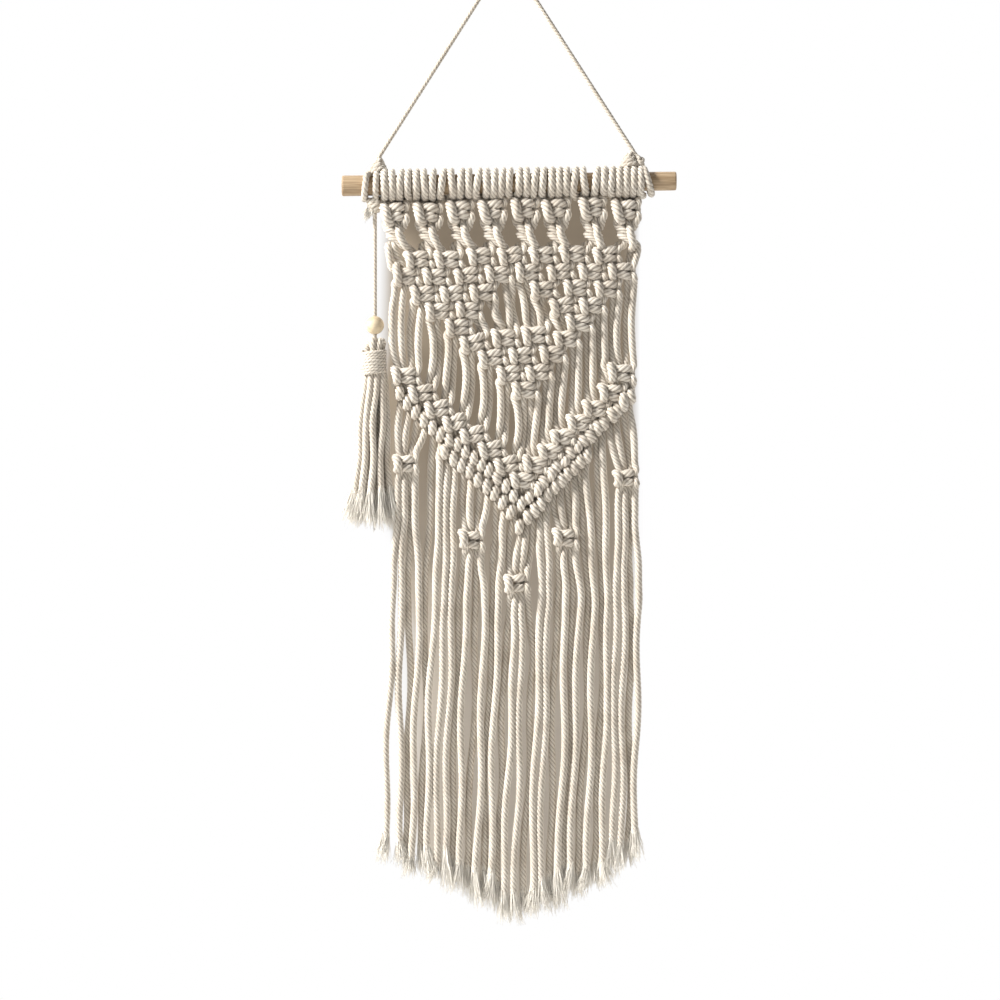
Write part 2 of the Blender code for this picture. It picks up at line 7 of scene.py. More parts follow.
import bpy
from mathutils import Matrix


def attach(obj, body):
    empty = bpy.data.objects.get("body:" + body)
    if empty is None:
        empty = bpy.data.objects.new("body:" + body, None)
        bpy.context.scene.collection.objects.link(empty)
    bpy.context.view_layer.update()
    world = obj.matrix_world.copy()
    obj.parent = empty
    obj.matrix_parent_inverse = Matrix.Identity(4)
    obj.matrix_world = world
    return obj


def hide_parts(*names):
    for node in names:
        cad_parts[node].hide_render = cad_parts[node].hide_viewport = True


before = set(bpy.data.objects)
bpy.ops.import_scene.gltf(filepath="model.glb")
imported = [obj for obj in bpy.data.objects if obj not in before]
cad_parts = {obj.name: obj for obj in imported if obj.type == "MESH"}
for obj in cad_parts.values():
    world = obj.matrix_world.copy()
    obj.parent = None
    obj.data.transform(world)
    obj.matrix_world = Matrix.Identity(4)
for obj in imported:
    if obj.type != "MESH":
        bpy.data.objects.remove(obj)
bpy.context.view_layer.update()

from functools import partial
from math import acos, asin, atan2, cos, hypot, pi, radians, sin

import bmesh
import bpy
import numpy as np
from mathutils import Vector, kdtree

MM = 0.001

# The camera stands square in front of the hanging, far enough off to show it nearly without
# perspective. Its frame is 746 mm wide where the net hangs.
VIEW_WIDTH = 746.0
VIEW_MIDDLE = (-5.2, -399.3)
LENS = 110.0
camera = bpy.data.objects.new("Camera", bpy.data.cameras.new("Camera"))
camera.data.lens = LENS
camera.data.sensor_width = 36.0
camera.location = (VIEW_MIDDLE[0] * MM, -VIEW_WIDTH * MM * LENS / 36.0, VIEW_MIDDLE[1] * MM)
camera.rotation_euler = (radians(90), 0, 0)
camera.data.clip_end = 50.0
bpy.context.scene.collection.objects.link(camera)
bpy.context.scene.camera = camera


# The hanging cord: one thin twisted cotton cord from the knot at the dowel's left end, over the nail
# and down to the knot at its right end. It is pulled taut by the hanging's weight.
HANGER = 3.1
HANGER_STEP = 8.6
NAIL_BEND = 6.6
BEND_STEPS = 6
HANGER_LEFT = (-96.0, -144.1)
HANGER_RIGHT = (93.6, -138.2)


def placed(name, data):
    """Put a mesh, curve or lamp into the scene as an object."""
    thing = bpy.data.objects.new(name, data)
    bpy.context.scene.collection.objects.link(thing)
    return thing


def feed(tree, node, inputs):
    """Link or set a node's inputs, given by name or number. None leaves one as it is."""
    for which, given in inputs.items():
        if isinstance(given, bpy.types.NodeSocket):
            tree.links.new(given, node.inputs[which])
        elif given is not None:
            node.inputs[which].default_value = given
    return node


def node_of(tree, kind, *values, inputs=None, **settings):
    """Add a node to a tree, set its properties and feed its inputs, in order or by name."""
    node = tree.nodes.new(kind)
    for name, value in settings.items():
        setattr(node, name, value)
    in_use = [i for i, socket in enumerate(node.inputs) if socket.enabled]
    feed(tree, node, dict(zip(in_use, values)))
    return feed(tree, node, inputs or {})


def math_of(tree, operation, *values):
    return node_of(tree, "ShaderNodeMath", *values, operation=operation).outputs[0]


def scaled(tree, value, factor):
    node = node_of(tree, "ShaderNodeVectorMath", value, operation="SCALE", inputs={"Scale": factor})
    return node.outputs[0]


def keep(tree, geometry, name, value, kind="FLOAT"):
    """Store a value on the points of a geometry under a name."""
    given = (geometry, None, name, value)
    node = node_of(tree, "GeometryNodeStoreNamedAttribute", *given, data_type=kind, domain="POINT")
    return node.outputs[0]


def new_tree(name, source, inputs, result):
    """A geometry nodes tree with named inputs: the tree, what it is given and where its result goes."""
    tree = bpy.data.node_groups.new(name, "GeometryNodeTree")
    sockets = [(source, "INPUT", "Geometry")] + [(label, "INPUT", kind) for label, kind in inputs]
    for label, way, kind in sockets + [(result, "OUTPUT", "Geometry")]:
        tree.interface.new_socket(label, in_out=way, socket_type="NodeSocket" + kind)
    given = tree.nodes.new("NodeGroupInput").outputs
    return tree, given, tree.nodes.new("NodeGroupOutput").inputs[0]


def sweep(tree, curve, ring, share, material, result):
    """End a tree: sweep a ring along curves into one smooth mesh with closed ends and a material."""
    given = {"Curve": curve, "Profile Curve": ring, "Scale": share, "Fill Caps": True}
    swept = node_of(tree, "GeometryNodeCurveToMesh", inputs=given)
    whole = node_of(tree, "GeometryNodeRealizeInstances", swept.outputs[0])
    smooth = node_of(tree, "GeometryNodeSetShadeSmooth", whole.outputs[0], None, True)
    coated = node_of(tree, "GeometryNodeSetMaterial", smooth.outputs[0], inputs={"Material": material})
    tree.links.new(coated.outputs[0], result)


POINTS_IN_PLY = 3  # of a cord's ring; the first lies in the groove


def twisted_cord_tree():
    """Geometry nodes that sweep a ring of plies along a curve and turn it as single-twist cord is laid."""
    inputs = (
        ("Cord radius", "Float"), ("Plies", "Int"), ("Groove depth", "Float"),
        ("Length of one twist", "Float"), ("Ring spacing", "Float"), ("Cotton", "Material"),
    )  # fmt: skip
    tree, given, result = new_tree("Twisted cord", "Route", inputs, "Cord")
    math = partial(math_of, tree)
    smooth = node_of(tree, "GeometryNodeCurveSplineType", given["Route"], spline_type="CATMULL_ROM")
    fine = node_of(tree, "GeometryNodeSetSplineResolution", smooth.outputs[0], None, 6)
    spaced = {"Curve": fine.outputs[0], "Length": given["Ring spacing"]}
    even = node_of(tree, "GeometryNodeResampleCurve", mode="LENGTH", inputs=spaced)
    length = tree.nodes.new("GeometryNodeSplineParameter").outputs["Length"]
    turn = math("MULTIPLY", math("DIVIDE", length, given["Length of one twist"]), -2 * pi)
    laid = node_of(tree, "GeometryNodeSetCurveTilt", even.outputs[0], None, turn)
    route = keep(tree, laid.outputs[0], "along", length)
    sides = math("MULTIPLY", given["Plies"], POINTS_IN_PLY)
    ring = node_of(tree, "GeometryNodeCurvePrimitiveCircle", sides, 1.0, mode="RADIUS")
    spot = tree.nodes.new("GeometryNodeInputPosition").outputs[0]
    around = keep(tree, ring.outputs[0], "around", spot, "FLOAT_VECTOR")
    index = tree.nodes.new("GeometryNodeInputIndex").outputs[0]
    groove = math("LESS_THAN", math("MODULO", index, POINTS_IN_PLY), 0.5)
    marked = keep(tree, around, "groove", groove)
    size = math("SUBTRACT", given["Cord radius"], math("MULTIPLY", groove, given["Groove depth"]))
    plies = node_of(tree, "GeometryNodeSetPosition", marked, None, scaled(tree, spot, size))
    thick = tree.nodes.new("GeometryNodeInputRadius").outputs[0]
    sweep(tree, route, plies.outputs[0], thick, given["Cotton"], result)
    return tree


twisted_cord = twisted_cord_tree()


def made_by(tree, source, name, values):
    """Run a geometry nodes tree on source and keep the result as a plain mesh object."""
    step = source.modifiers.new("Made", "NODES")
    step.node_group = tree
    for item in tree.interface.items_tree:
        if item.in_out == "INPUT" and item.name in values:
            step[item.identifier] = values[item.name]
    graph = bpy.context.evaluated_depsgraph_get()
    mesh = bpy.data.meshes.new_from_object(source.evaluated_get(graph), depsgraph=graph)
    mesh.name = name
    bpy.data.objects.remove(source)
    return placed(name, mesh)


def route_curve(name, routes):
    """A curve with one spline for each route of (x, y, z, share of the full radius) in millimetres."""
    curve = bpy.data.curves.new(name, "CURVE")
    curve.dimensions = "3D"
    for route in routes:
        line = curve.splines.new("POLY")
        line.points.add(len(route) - 1)
        for spot, (x, y, z, share) in zip(line.points, route):
            spot.co = (x * MM, y * MM, z * MM, 1.0)
            spot.radius = share
    return placed(name, curve)


def twist(name, routes, radius, material, plies=5, groove=0.24, turn=17.5, spacing=1.3):
    """Twisted cord along routes. The groove is a share of the radius; the rest is in millimetres."""
    values = {
        "Cord radius": radius * MM,
        "Plies": plies,
        "Groove depth": groove * radius * MM,
        "Length of one twist": turn * MM,
        "Ring spacing": spacing * MM,
        "Cotton": material,
    }
    return made_by(twisted_cord, route_curve(name, routes), name, values)


def new_material(name):
    """A material, its node tree and its shader."""
    made = bpy.data.materials.new(name)
    made.use_nodes = True
    return made, made.node_tree, made.node_tree.nodes["Principled BSDF"]


def noise_of(tree, place, scale, detail, **more):
    inputs = {"Vector": place, "Scale": scale, "Detail": detail, **more}
    return node_of(tree, "ShaderNodeTexNoise", inputs=inputs).outputs[0]


def ramp_of(tree, tone, *stops):
    """Colours between two stops of (tone, colour)."""
    ramp = node_of(tree, "ShaderNodeValToRGB", tone)
    for stop, (position, color) in zip(ramp.color_ramp.elements, stops):
        stop.position = position
        stop.color = (*color, 1)
    return ramp.outputs[0]


def raised(tree, height, strength, distance):
    """The normal of a surface that a texture raises, by a distance in metres."""
    inputs = {"Strength": strength, "Distance": distance, "Height": height}
    return node_of(tree, "ShaderNodeBump", inputs=inputs).outputs[0]


def attribute(tree, name, output="Fac"):
    return node_of(tree, "ShaderNodeAttribute", attribute_name=name).outputs[output]


FIBRE_FINE = (8.0, 8.0, 170.0)  # how fine the fibres' streaks are across a cord, twice, and along it
STREAKED = 0.6  # how much the streaks change the tone beside the blotches


def cotton_material(name, light, shade, groove_shade):
    """Unbleached cotton: fibres laid along the plies, darker in the grooves as painted shade, and a little
    uneven.
    """
    cotton, tree, shader = new_material(name)
    math = partial(math_of, tree)
    around = node_of(tree, "ShaderNodeSeparateXYZ", attribute(tree, "around", "Vector")).outputs
    spots = (around[0], around[1], attribute(tree, "along"))
    fine = [math("MULTIPLY", spot, times) for spot, times in zip(spots, FIBRE_FINE)]
    streaks = noise_of(tree, node_of(tree, "ShaderNodeCombineXYZ", *fine).outputs[0], 1.6, 3.0)
    place = tree.nodes.new("ShaderNodeTexCoord").outputs["Object"]
    blotches = noise_of(tree, place, 55.0, 2.0)
    tone = math("ADD", math("MULTIPLY", streaks, STREAKED), blotches)
    laid = ramp_of(tree, tone, (0.5, shade), (0.95, light))
    # Painted shade: the colour is mixed towards a darker one in the grooves between the plies.
    depth = math("POWER", attribute(tree, "groove"), 1.6)
    mixed = {0: depth, 6: laid, 7: (*groove_shade, 1)}
    looks = {
        "Base Color": node_of(tree, "ShaderNodeMix", data_type="RGBA", inputs=mixed).outputs[2],
        "Normal": raised(tree, streaks, 0.6, 0.0004),
        "Roughness": 0.92,
        "Specular IOR Level": 0.25,
        "Sheen Weight": 0.25,
        "Sheen Roughness": 0.6,
    }
    feed(tree, shader, looks)
    return cotton


cotton = cotton_material(
    "Cream cotton", light=(0.79, 0.735, 0.65), shade=(0.60, 0.535, 0.45), groove_shade=(0.34, 0.28, 0.22)
)
thin_cotton = cotton_material(
    "Thin cotton cord",
    light=(0.70, 0.645, 0.56),
    shade=(0.54, 0.48, 0.40),
    groove_shade=(0.36, 0.30, 0.235),
)
PLY_STANDS = 1.1  # the crests of three plies stand outside the cord's nominal round
THIN_LAY = {"plies": 3, "groove": 0.14, "turn": 9.0, "spacing": 0.9}


def hanger_route():
    """The cord's middle line: up from the left knot, round the nail, down to the right one."""
    middle = Vector((0, 0, HANGER / 2 - NAIL_BEND))
    left = Vector((HANGER_LEFT[0], 0, HANGER_LEFT[1]))
    right = Vector((HANGER_RIGHT[0], 0, HANGER_RIGHT[1]))
    turns = []
    for foot in (left, right):
        away = foot - middle
        turns.append(pi - atan2(abs(away.x), -away.z) - acos(NAIL_BEND / away.length))
    bend = []
    for i in range(BEND_STEPS + 1):
        angle = -turns[0] + sum(turns) * i / BEND_STEPS
        bend.append(middle + NAIL_BEND * Vector((sin(angle), 0, cos(angle))))
    up = round((bend[0] - left).length / HANGER_STEP)
    down = round((right - bend[-1]).length / HANGER_STEP)
    points = [left.lerp(bend[0], i / up) for i in range(up)]
    points += bend
    return points + [bend[-1].lerp(right, i / down) for i in range(1, down + 1)]


def hang_cord(piece):
    """Attach a free cord's piece to the root body."""
    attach(piece, "root")


hanger_line = hanger_route()
hanger_way = [(*point, 1.0) for point in hanger_line]
hanger = twist("hanging_cord", [hanger_way], PLY_STANDS * HANGER / 2, thin_cotton, **THIN_LAY)
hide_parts("hanger_cord")
hang_cord(hanger)


# The tassel's cord: the tail of the hanging cord's left knot, twisted from the same thin cotton. It
# hangs straight down from the knot, through the bead, and is bound in among the tassel's strands.
TASSEL_X = -98.6
TASSEL_CORD = 3.0
TASSEL_CORD_TOP, TASSEL_CORD_FOOT = -184.1, -388.0
TASSEL_CORD_STEPS = 60

tassel_drop = TASSEL_CORD_FOOT - TASSEL_CORD_TOP
tassel_line = [
    (TASSEL_X, 0.0, TASSEL_CORD_TOP + tassel_drop * i / TASSEL_CORD_STEPS)
    for i in range(TASSEL_CORD_STEPS + 1)
]
tassel_way = [(*point, 1.0) for point in tassel_line]
tassel_cord = twist(
    "tassel_cord_twisted", [tassel_way], PLY_STANDS * TASSEL_CORD / 2, thin_cotton, **THIN_LAY
)
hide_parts("tassel_cord")


# The dowel: a plain sanded pine rod, a little thicker at its left end, with softly rounded cut ends.
# It is one piece of wood that everything is tied to.
DOWEL_LEFT = (-123.1, -165.0)
DOWEL_RIGHT = (126.3, -161.3)
DOWEL_RADII = (7.7, 7.0)
DOWEL_SIDES = 64
DOWEL_RINGS = 24
DOWEL_ROUNDING = ((0.0, 0.0), (0.0, 0.55), (0.0, 0.86), (0.25, 0.95), (0.8, 0.99), (1.6, 1.0))


def dowel_share(x):
    return (x - DOWEL_LEFT[0]) / (DOWEL_RIGHT[0] - DOWEL_LEFT[0])


def dowel_middle(x):
    """The z of the dowel's middle line at x."""
    return DOWEL_LEFT[1] + dowel_share(x) * (DOWEL_RIGHT[1] - DOWEL_LEFT[1])


def dowel_radius(x):
    return DOWEL_RADII[0] + dowel_share(x) * (DOWEL_RADII[1] - DOWEL_RADII[0])


def mesh_piece(name, shape, material):
    """Keep a bmesh as an object that is smooth shaded."""
    bmesh.ops.recalc_face_normals(shape, faces=shape.faces)
    mesh = bpy.data.meshes.new(name)
    shape.to_mesh(mesh)
    shape.free()
    mesh.shade_smooth()
    mesh.materials.append(material)
    return placed(name, mesh)


def rings_mesh(rings):
    """A bmesh through rings of points in metres. A ring of one point closes an end."""
    shape = bmesh.new()
    loops = [[shape.verts.new(point) for point in ring] for ring in rings]
    for one, other in zip(loops, loops[1:]):
        count = max(len(one), len(other))
        for i in range(count):
            j = (i + 1) % count
            corners = [one[i % len(one)], one[j % len(one)], other[j % len(other)], other[i % len(other)]]
            shape.faces.new(dict.fromkeys(corners))
    return shape


def dowel_rings():
    length = hypot(DOWEL_RIGHT[0] - DOWEL_LEFT[0], DOWEL_RIGHT[1] - DOWEL_LEFT[1])
    spots = list(DOWEL_ROUNDING)
    spots += [(length * i / DOWEL_RINGS, 1.0) for i in range(1, DOWEL_RINGS)]
    spots += [(length - inset, share) for inset, share in reversed(DOWEL_ROUNDING)]
    rings = []
    for distance, share in spots:
        x = DOWEL_LEFT[0] + (DOWEL_RIGHT[0] - DOWEL_LEFT[0]) * distance / length
        if share == 0.0:
            rings.append([(x * MM, 0, dowel_middle(x) * MM)])
            continue
        ring = []
        for i in range(DOWEL_SIDES):
            angle = 2 * pi * i / DOWEL_SIDES
            radius = share * dowel_radius(x) * (1 + 0.004 * sin(3 * angle + x / 31))
            ring.append(
                (x * MM, radius * MM * sin(angle), (dowel_middle(x) + radius * cos(angle)) * MM)
            )
        rings.append(ring)
    return rings


def wood_material(name, light, dark, across, along, bands):
    """Pale sanded wood: long grain bands along X, fine pores and faint growth lines."""
    wood, tree, shader = new_material(name)
    place = tree.nodes.new("ShaderNodeTexCoord").outputs["Object"]

    def stretched(finer_along, finer_across):
        scale = (along * finer_along, across * finer_across, across * finer_across)
        return node_of(tree, "ShaderNodeMapping", place, inputs={"Scale": scale}).outputs[0]

    bend = noise_of(tree, stretched(1, 1), 1.0, 3.0, Distortion=0.6)
    rings = math_of(tree, "SINE", math_of(tree, "MULTIPLY", bend, bands))
    pores = noise_of(tree, stretched(6, 9), 1.0, 4.0)
    tone = math_of(tree, "MULTIPLY_ADD", rings, 0.28, pores)
    looks = {
        "Base Color": ramp_of(tree, tone, (0.25, dark), (0.72, light)),
        "Normal": raised(tree, pores, 0.25, 0.0003),
        "Roughness": 0.55,
        "Specular IOR Level": 0.35,
    }
    feed(tree, shader, looks)
    return wood


pine = wood_material(
    "Sanded pine",
    light=(0.47, 0.35, 0.225),
    dark=(0.33, 0.23, 0.135),
    across=260.0,
    along=14.0,
    bands=34.0,
)
dowel = mesh_piece("dowel_rod", rings_mesh(dowel_rings()), pine)
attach(dowel, "root")
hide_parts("dowel")


# The knotted net: sixteen cords of 5 mm single-twist cotton, each folded over the dowel, so 32 strands.
# Each strand is one continuous length from its wrap on the dowel through every knot to its cut end.
# They are laid out knot by knot and then pushed apart, until they press into each other only a little.
CORD_RADIUS = 2.75
PRESSED = 0.93  # how thick the cord still is where a knot holds it
STRANDS = 32
STRANDS_PER_KNOT = 4
# Where each strand passes over the front of the dowel (x).
WRAPS = (
    -91.6, -85.3, -79.8, -73.5, -68.1, -61.8, -55.4, -48.0, -41.3, -34.6, -28.3, -21.6, -15.7, -9.5,
    -3.9, 2.0, 8.7, 14.8, 20.5, 27.2, 33.2, 38.6, 44.5, 50.6, 56.6, 66.2, 72.4, 78.3, 83.8, 89.2,
    94.0, 99.4,
)  # fmt: skip
# The eight heads (x, z): a fat square knot pulled up under the wraps.
HEADS = (
    (-82.6, -185.5), (-57.8, -186.0), (-33.8, -183.8), (-9.8, -182.9),
    (14.5, -182.1), (37.6, -182.1), (64.9, -181.2), (89.8, -183.6),
)  # fmt: skip
HEAD_SIZE = (9.9, 0.9, 7.3)
HEAD_TAPER = 0.5  # how much narrower a head is at its foot
HEAD_FULL = 1.18  # how much fuller the loose cord of a head is
# Under each head its four strands twist into a short sinnet of half knots down to this height.
SINNET = (-196.2, -209.6)
SINNET_PITCH = 12.8
SINNET_RADII = (5.3, 3.2)
SINNET_DROP = 3.0
# The square knots in bars, as they are tied: each takes two of its strands from the one before. One
# row a bar: the first of the four strands in its top knot, the step, and the knots' x and z.
KNOT_BARS = (
    (1, 2, (-74.1, -60.4, -49.4, -34.8, -23.6, -9.9, 3.7, 14.9),
     (-232.2, -245.4, -258.3, -270.0, -281.5, -292.6, -304.5, -316.6)),
    (3, 2, (-64.6, -51.8, -38.9, -27.1), (-220.6, -232.9, -245.4, -258.0)),
    (7, 2, (-42.4, -27.8, -16.7), (-220.6, -231.8, -244.6)),
    (11, 2, (-18.4, -4.7), (-218.0, -230.9)),
    (29, -2, (86.4, 76.1, 64.6, 55.2, 45.8, 35.5, 25.1),
     (-228.7, -242.0, -254.1, -267.0, -279.4, -290.0, -303.8)),
    (27, -2, (75.3, 64.2, 53.0, 43.3), (-217.2, -229.2, -241.1, -254.1)),
    (23, -2, (51.3, 41.0, 28.2), (-216.5, -229.2, -242.0)),
    (19, -2, (28.2, 17.0), (-217.2, -229.2)),
    (15, 2, (4.5,), (-217.6,)),
    (13, 2, (-0.4, 12.3), (-278.9, -291.8)),
    (17, 2, (22.4,), (-276.4,)),
    (1, 2, (-74.2, -61.9, -50.0, -36.9, -23.9, -10.2, 1.9, 13.8),
     (-307.3, -319.4, -330.9, -341.5, -350.0, -361.4, -372.4, -384.3)),
    (29, -2, (86.1, 80.0, 67.9, 55.7, 43.5, 34.3, 23.1),
     (-305.0, -320.2, -332.4, -342.3, -353.0, -363.2, -373.5)),
)  # fmt: skip
# The single square knots under the wide V: the first of the four strands, x and z.
SINGLE_KNOTS = (
    (1, -74.6, -372.4), (9, -25.4, -429.1), (15, 8.2, -461.2), (21, 44.8, -427.6), (29, 89.5, -382.8),
)  # fmt: skip
SINGLE_SIZE = (8.2, 1.0, 6.2)
# How a left-facing square knot is tied, one tuple of (across, down, depth, thickness) for each of its four
# strands: the left one, the two it is tied round, and the right one. Across and down are shares of
# the knot's halves and depth is in millimetres, less than 0 in front.
KNOT_SIZE = (9.8, 1.0, 6.2)
SQUARE_KNOT = (
    (
        (-0.84, 1.20, -0.2, 1.0), (-0.72, 0.80, -0.8, 0.8), (-0.56, 0.42, -2.6, 0.85),
        (-0.24, 0.42, -4.5, 1.2), (0.22, 0.54, -5.0, 1.3), (0.56, 0.64, -4.0, 1.15),
        (0.76, 0.46, -2.0, 0.8), (0.78, 0.04, -0.6, 0.6), (0.76, -0.34, -2.0, 0.8),
        (0.50, -0.52, -4.2, 1.15), (0.06, -0.48, -5.0, 1.3), (-0.34, -0.44, -4.5, 1.2),
        (-0.58, -0.50, -2.6, 0.85), (-0.72, -0.80, -0.8, 0.8), (-0.84, -1.20, -0.2, 1.0),
    ),
    ((-0.34, 1.20, 0.4, 1.0), (-0.20, 0.40, 1.0, 0.8), (-0.20, -0.40, 1.0, 0.8), (-0.34, -1.20, 0.4, 1.0)),
    ((0.34, 1.20, 0.4, 1.0), (0.20, 0.40, 1.0, 0.8), (0.20, -0.40, 1.0, 0.8), (0.34, -1.20, 0.4, 1.0)),
    (
        (0.84, 1.20, -1.0, 1.0), (0.74, 0.98, -3.6, 0.85), (0.64, 0.62, -4.8, 0.66),
        (0.60, 0.26, -3.0, 0.5), (0.44, 0.12, 1.2, 0.5), (0.20, 0.20, 4.6, 0.75),
        (-0.30, 0.40, 5.0, 0.8), (-0.78, 0.90, 2.6, 0.85), (-1.00, 1.10, -1.6, 0.98),
        (-0.95, 0.70, -6.2, 1.16), (-0.83, 0.22, -8.3, 1.26), (-0.70, -0.28, -8.3, 1.26),
        (-0.64, -0.76, -6.2, 1.16), (-0.72, -1.04, -1.4, 0.98), (-0.62, -0.76, 2.8, 0.85),
        (-0.30, -0.38, 5.0, 0.8), (0.20, -0.20, 4.6, 0.75), (0.44, -0.10, 1.2, 0.5),
        (0.62, -0.22, -3.2, 0.6), (0.66, -0.54, -5.8, 0.86), (0.74, -0.88, -4.4, 0.96),
        (0.84, -1.20, -1.0, 1.0),
    ),
)  # fmt: skip
# The diagonal double half hitches under the wide V: one oval turn of each strand over a held cord.
# One row a held cord: its outer end's first strand, the step to the next, and the line that the
# turns follow (x, z).
HITCH_ROWS = (
    (1, 1, (
        (-79.8, -317.9), (-68.9, -332.1), (-50.0, -349.3), (-29.1, -364.9), (-11.2, -379.1),
        (0.7, -391.1), (11.2, -402.3),
    )),
    (32, -1, (
        (91.5, -321.7), (79.8, -332.9), (64.2, -347.8), (47.0, -364.2), (32.5, -379.9), (17.2, -397.0),
    )),
    (7, 1, (
        (-45.5, -362.7), (-39.5, -367.2), (-27.6, -376.9), (-17.2, -388.1), (-10.7, -391.1),
        (4.3, -409.3), (9.0, -419.0),
    )),
    (26, -1, ((58.9, -365.2), (47.7, -375.4), (36.6, -386.2), (26.9, -398.2), (15.4, -412.0))),
)  # fmt: skip
HITCH_TALL = 4.7
# The fringe, one row a strand: x at the height of SWING_LINE, x at the tip, the heights of the comb
# line and of the longest fibres, and 1 where the strand hangs behind its neighbours.
SWING_LINE = -473.9
FRINGE = (
    (-85.4, -90.4, -650.7, -669.3, 0), (-78.6, -80.0, -658.1, -670.8, 0),
    (-73.9, -75.6, -660.4, -673.8, 1), (-65.5, -71.6, -667.1, -679.0, 0),
    (-61.4, -64.2, -661.9, -676.8, 1), (-53.2, -59.7, -661.1, -679.8, 0),
    (-46.8, -52.2, -673.8, -682.7, 0), (-41.6, -45.8, -664.1, -690.2, 0),
    (-36.3, -41.0, -669.3, -686.5, 1), (-30.1, -35.8, -672.3, -690.2, 0),
    (-23.2, -29.1, -675.3, -696.2, 1), (-16.6, -23.9, -677.5, -701.4, 0),
    (-10.7, -17.2, -678.3, -699.9, 1), (-6.2, -11.6, -678.3, -702.1, 0),
    (-0.9, -7.5, -686.5, -706.6, 1), (5.1, -2.2, -696.2, -713.8, 0),
    (11.2, 4.8, -697.7, -714.1, 0), (20.1, 12.0, -694.7, -708.8, 1),
    (25.7, 19.9, -693.9, -709.6, 0), (31.6, 25.4, -686.5, -705.1, 0),
    (37.4, 31.6, -681.2, -706.6, 1), (43.6, 37.8, -676.8, -701.4, 0),
    (49.2, 41.8, -675.3, -704.4, 1), (55.6, 47.7, -676.8, -693.9, 0),
    (60.7, 52.7, -679.0, -696.2, 1), (65.9, 59.4, -679.0, -691.7, 0),
    (71.0, 65.2, -673.8, -688.7, 1), (75.3, 70.9, -673.0, -686.5, 0),
    (81.2, 78.3, -655.1, -680.5, 0), (87.4, 84.3, -660.4, -674.5, 0),
    (91.8, 90.3, -656.6, -671.5, 1), (98.5, 95.3, -647.7, -666.3, 0),
)  # fmt: skip
FREE_RUN = 22.0  # strands between knots further apart than this hang free of each other
BEHIND, BEFORE, FRINGE_BEFORE = 3.2, -1.8, -1.4  # depths of the strands that hang behind and in front
HELD_SWAY, LOOSE_SWAY, FREE_SWAY = 0.3, 0.9, 1.6  # how far strands wave between two points that hold them
FREE_BOW = 1.4
COMB_LIFT = (1.0, 5.0)  # how far above its comb line a strand ends
STRAND_END = ((2.0, 0.8), (5.0, 0.35))  # how a strand thins out below its end: how far down, share
STRAND_STEP = 2.0
# Of settling: rounds, how near two strands may come as a share of their radii, how much of a push is
# made, and the shares by which a point moves back between its neighbours and to its own place.
SETTLE_ROUNDS = 60
SETTLE_PRESS = 0.92
SETTLE_PUSH = 1.2
SETTLE_EVEN = 0.16
SETTLE_HOLD = 0.03
# Between the net's narrow and wide V the strands hang in pairs, one of a pair in front. This is each
# strand's x half way down, from the left, and the strands in front.
PAIRS_HANG = (
    -86.0, -78.8, -72.6, -66.0, -54.8, -50.4, -44.6, -40.2, -30.6, -26.4, -17.2, -13.0, -4.6, -0.4,
    8.8, 13.0, 17.6, 21.2, 27.6, 31.6, 37.4, 41.2, 49.2, 53.4, 59.8, 64.0, 69.2, 73.3, 78.0, 81.8,
    88.8, 93.0,
)  # fmt: skip
IN_FRONT = (1, 2, 4, 5, 7, 9, 11, 13, 15, 18, 20, 22, 24, 26, 28, 30, 32)
# The same in the opening inside the narrow V, above MOUTH_FOOT: x half way down and depth.
MOUTH_FOOT = -300.0
MOUTH_HANGS = {
    11: (-19.0, 3.0), 12: (-15.9, -1.8), 13: (-5.6, 3.2), 14: (-9.2, -1.8), 15: (1.0, -1.8),
    16: (3.4, 3.4), 17: (13.3, -1.8), 18: (18.6, 3.2), 19: (24.6, -1.8), 20: (27.6, 3.2),
    21: (37.5, -1.8), 22: (40.6, 3.2),
}  # fmt: skip


# A wrap's turn round the dowel: degrees from its top, more than 0 in front, and how close it lies.
WRAP_TURN = ((212, 1.14), (180, 1.04), *((turn, 1.0) for turn in (150, 120, 90, 60, 30, 0, -35, -70, -100)))


def over_dowel(strand):
    """A strand's lark's head: from the fold behind, under and up the front, over and down the back."""
    x = WRAPS[strand - 1]
    other = WRAPS[strand if strand % 2 else strand - 2]
    head, _ = HEADS[(strand - 1) // STRANDS_PER_KNOT]
    lean = 0.16 * (head - x)
    tip = 1.1 * sin(strand * 2.7)
    z = dowel_middle(x)
    close = dowel_radius(x) + 0.5 + CORD_RADIUS
    path = [
        ((x + other) / 2, close + 4.0, z - 4.0, 0.9),
        (x + 0.25 * (other - x), close + 2.6, z - 6.5, 0.9),
    ]
    for degrees, share in WRAP_TURN:
        angle = radians(degrees)
        slide = lean * max(-0.4, min(1.0, (degrees - 60) / 90))
        slide += tip * cos(angle)
        path.append((x + slide, -close * share * sin(angle), z + close * share * cos(angle), 1.07))
    path.append((x + 0.55 * (head - x), close - 2.6, z - 8.5, 0.95))
    return path


def tied(x, z, slot, size, ends, taper=0.0, full=1.0):
    """One strand's way through a square knot. Its first and last points are left out in a close net."""
    wide, deep, tall = size
    tilt = 0.12 * sin(x * 1.7 + z * 0.9)
    wide *= 1 + 0.05 * sin(x * 0.8 - z * 1.3)
    tall *= 1 + 0.05 * sin(x * 1.1 + z * 2.1)
    way = SQUARE_KNOT[slot]
    way = way[0 if ends[0] else 1 : len(way) if ends[1] else len(way) - 1]
    return [
        (
            x + a * wide * (1 - taper * (max(0.0, -v) ** 1.5 + 0.3 * max(0.0, v) ** 2)),
            y * deep * (1 - 0.4 * taper * v * v),
            z + v * tall + a * wide * tilt,
            share * PRESSED * full,
        )
        for a, v, y, share in way
    ]


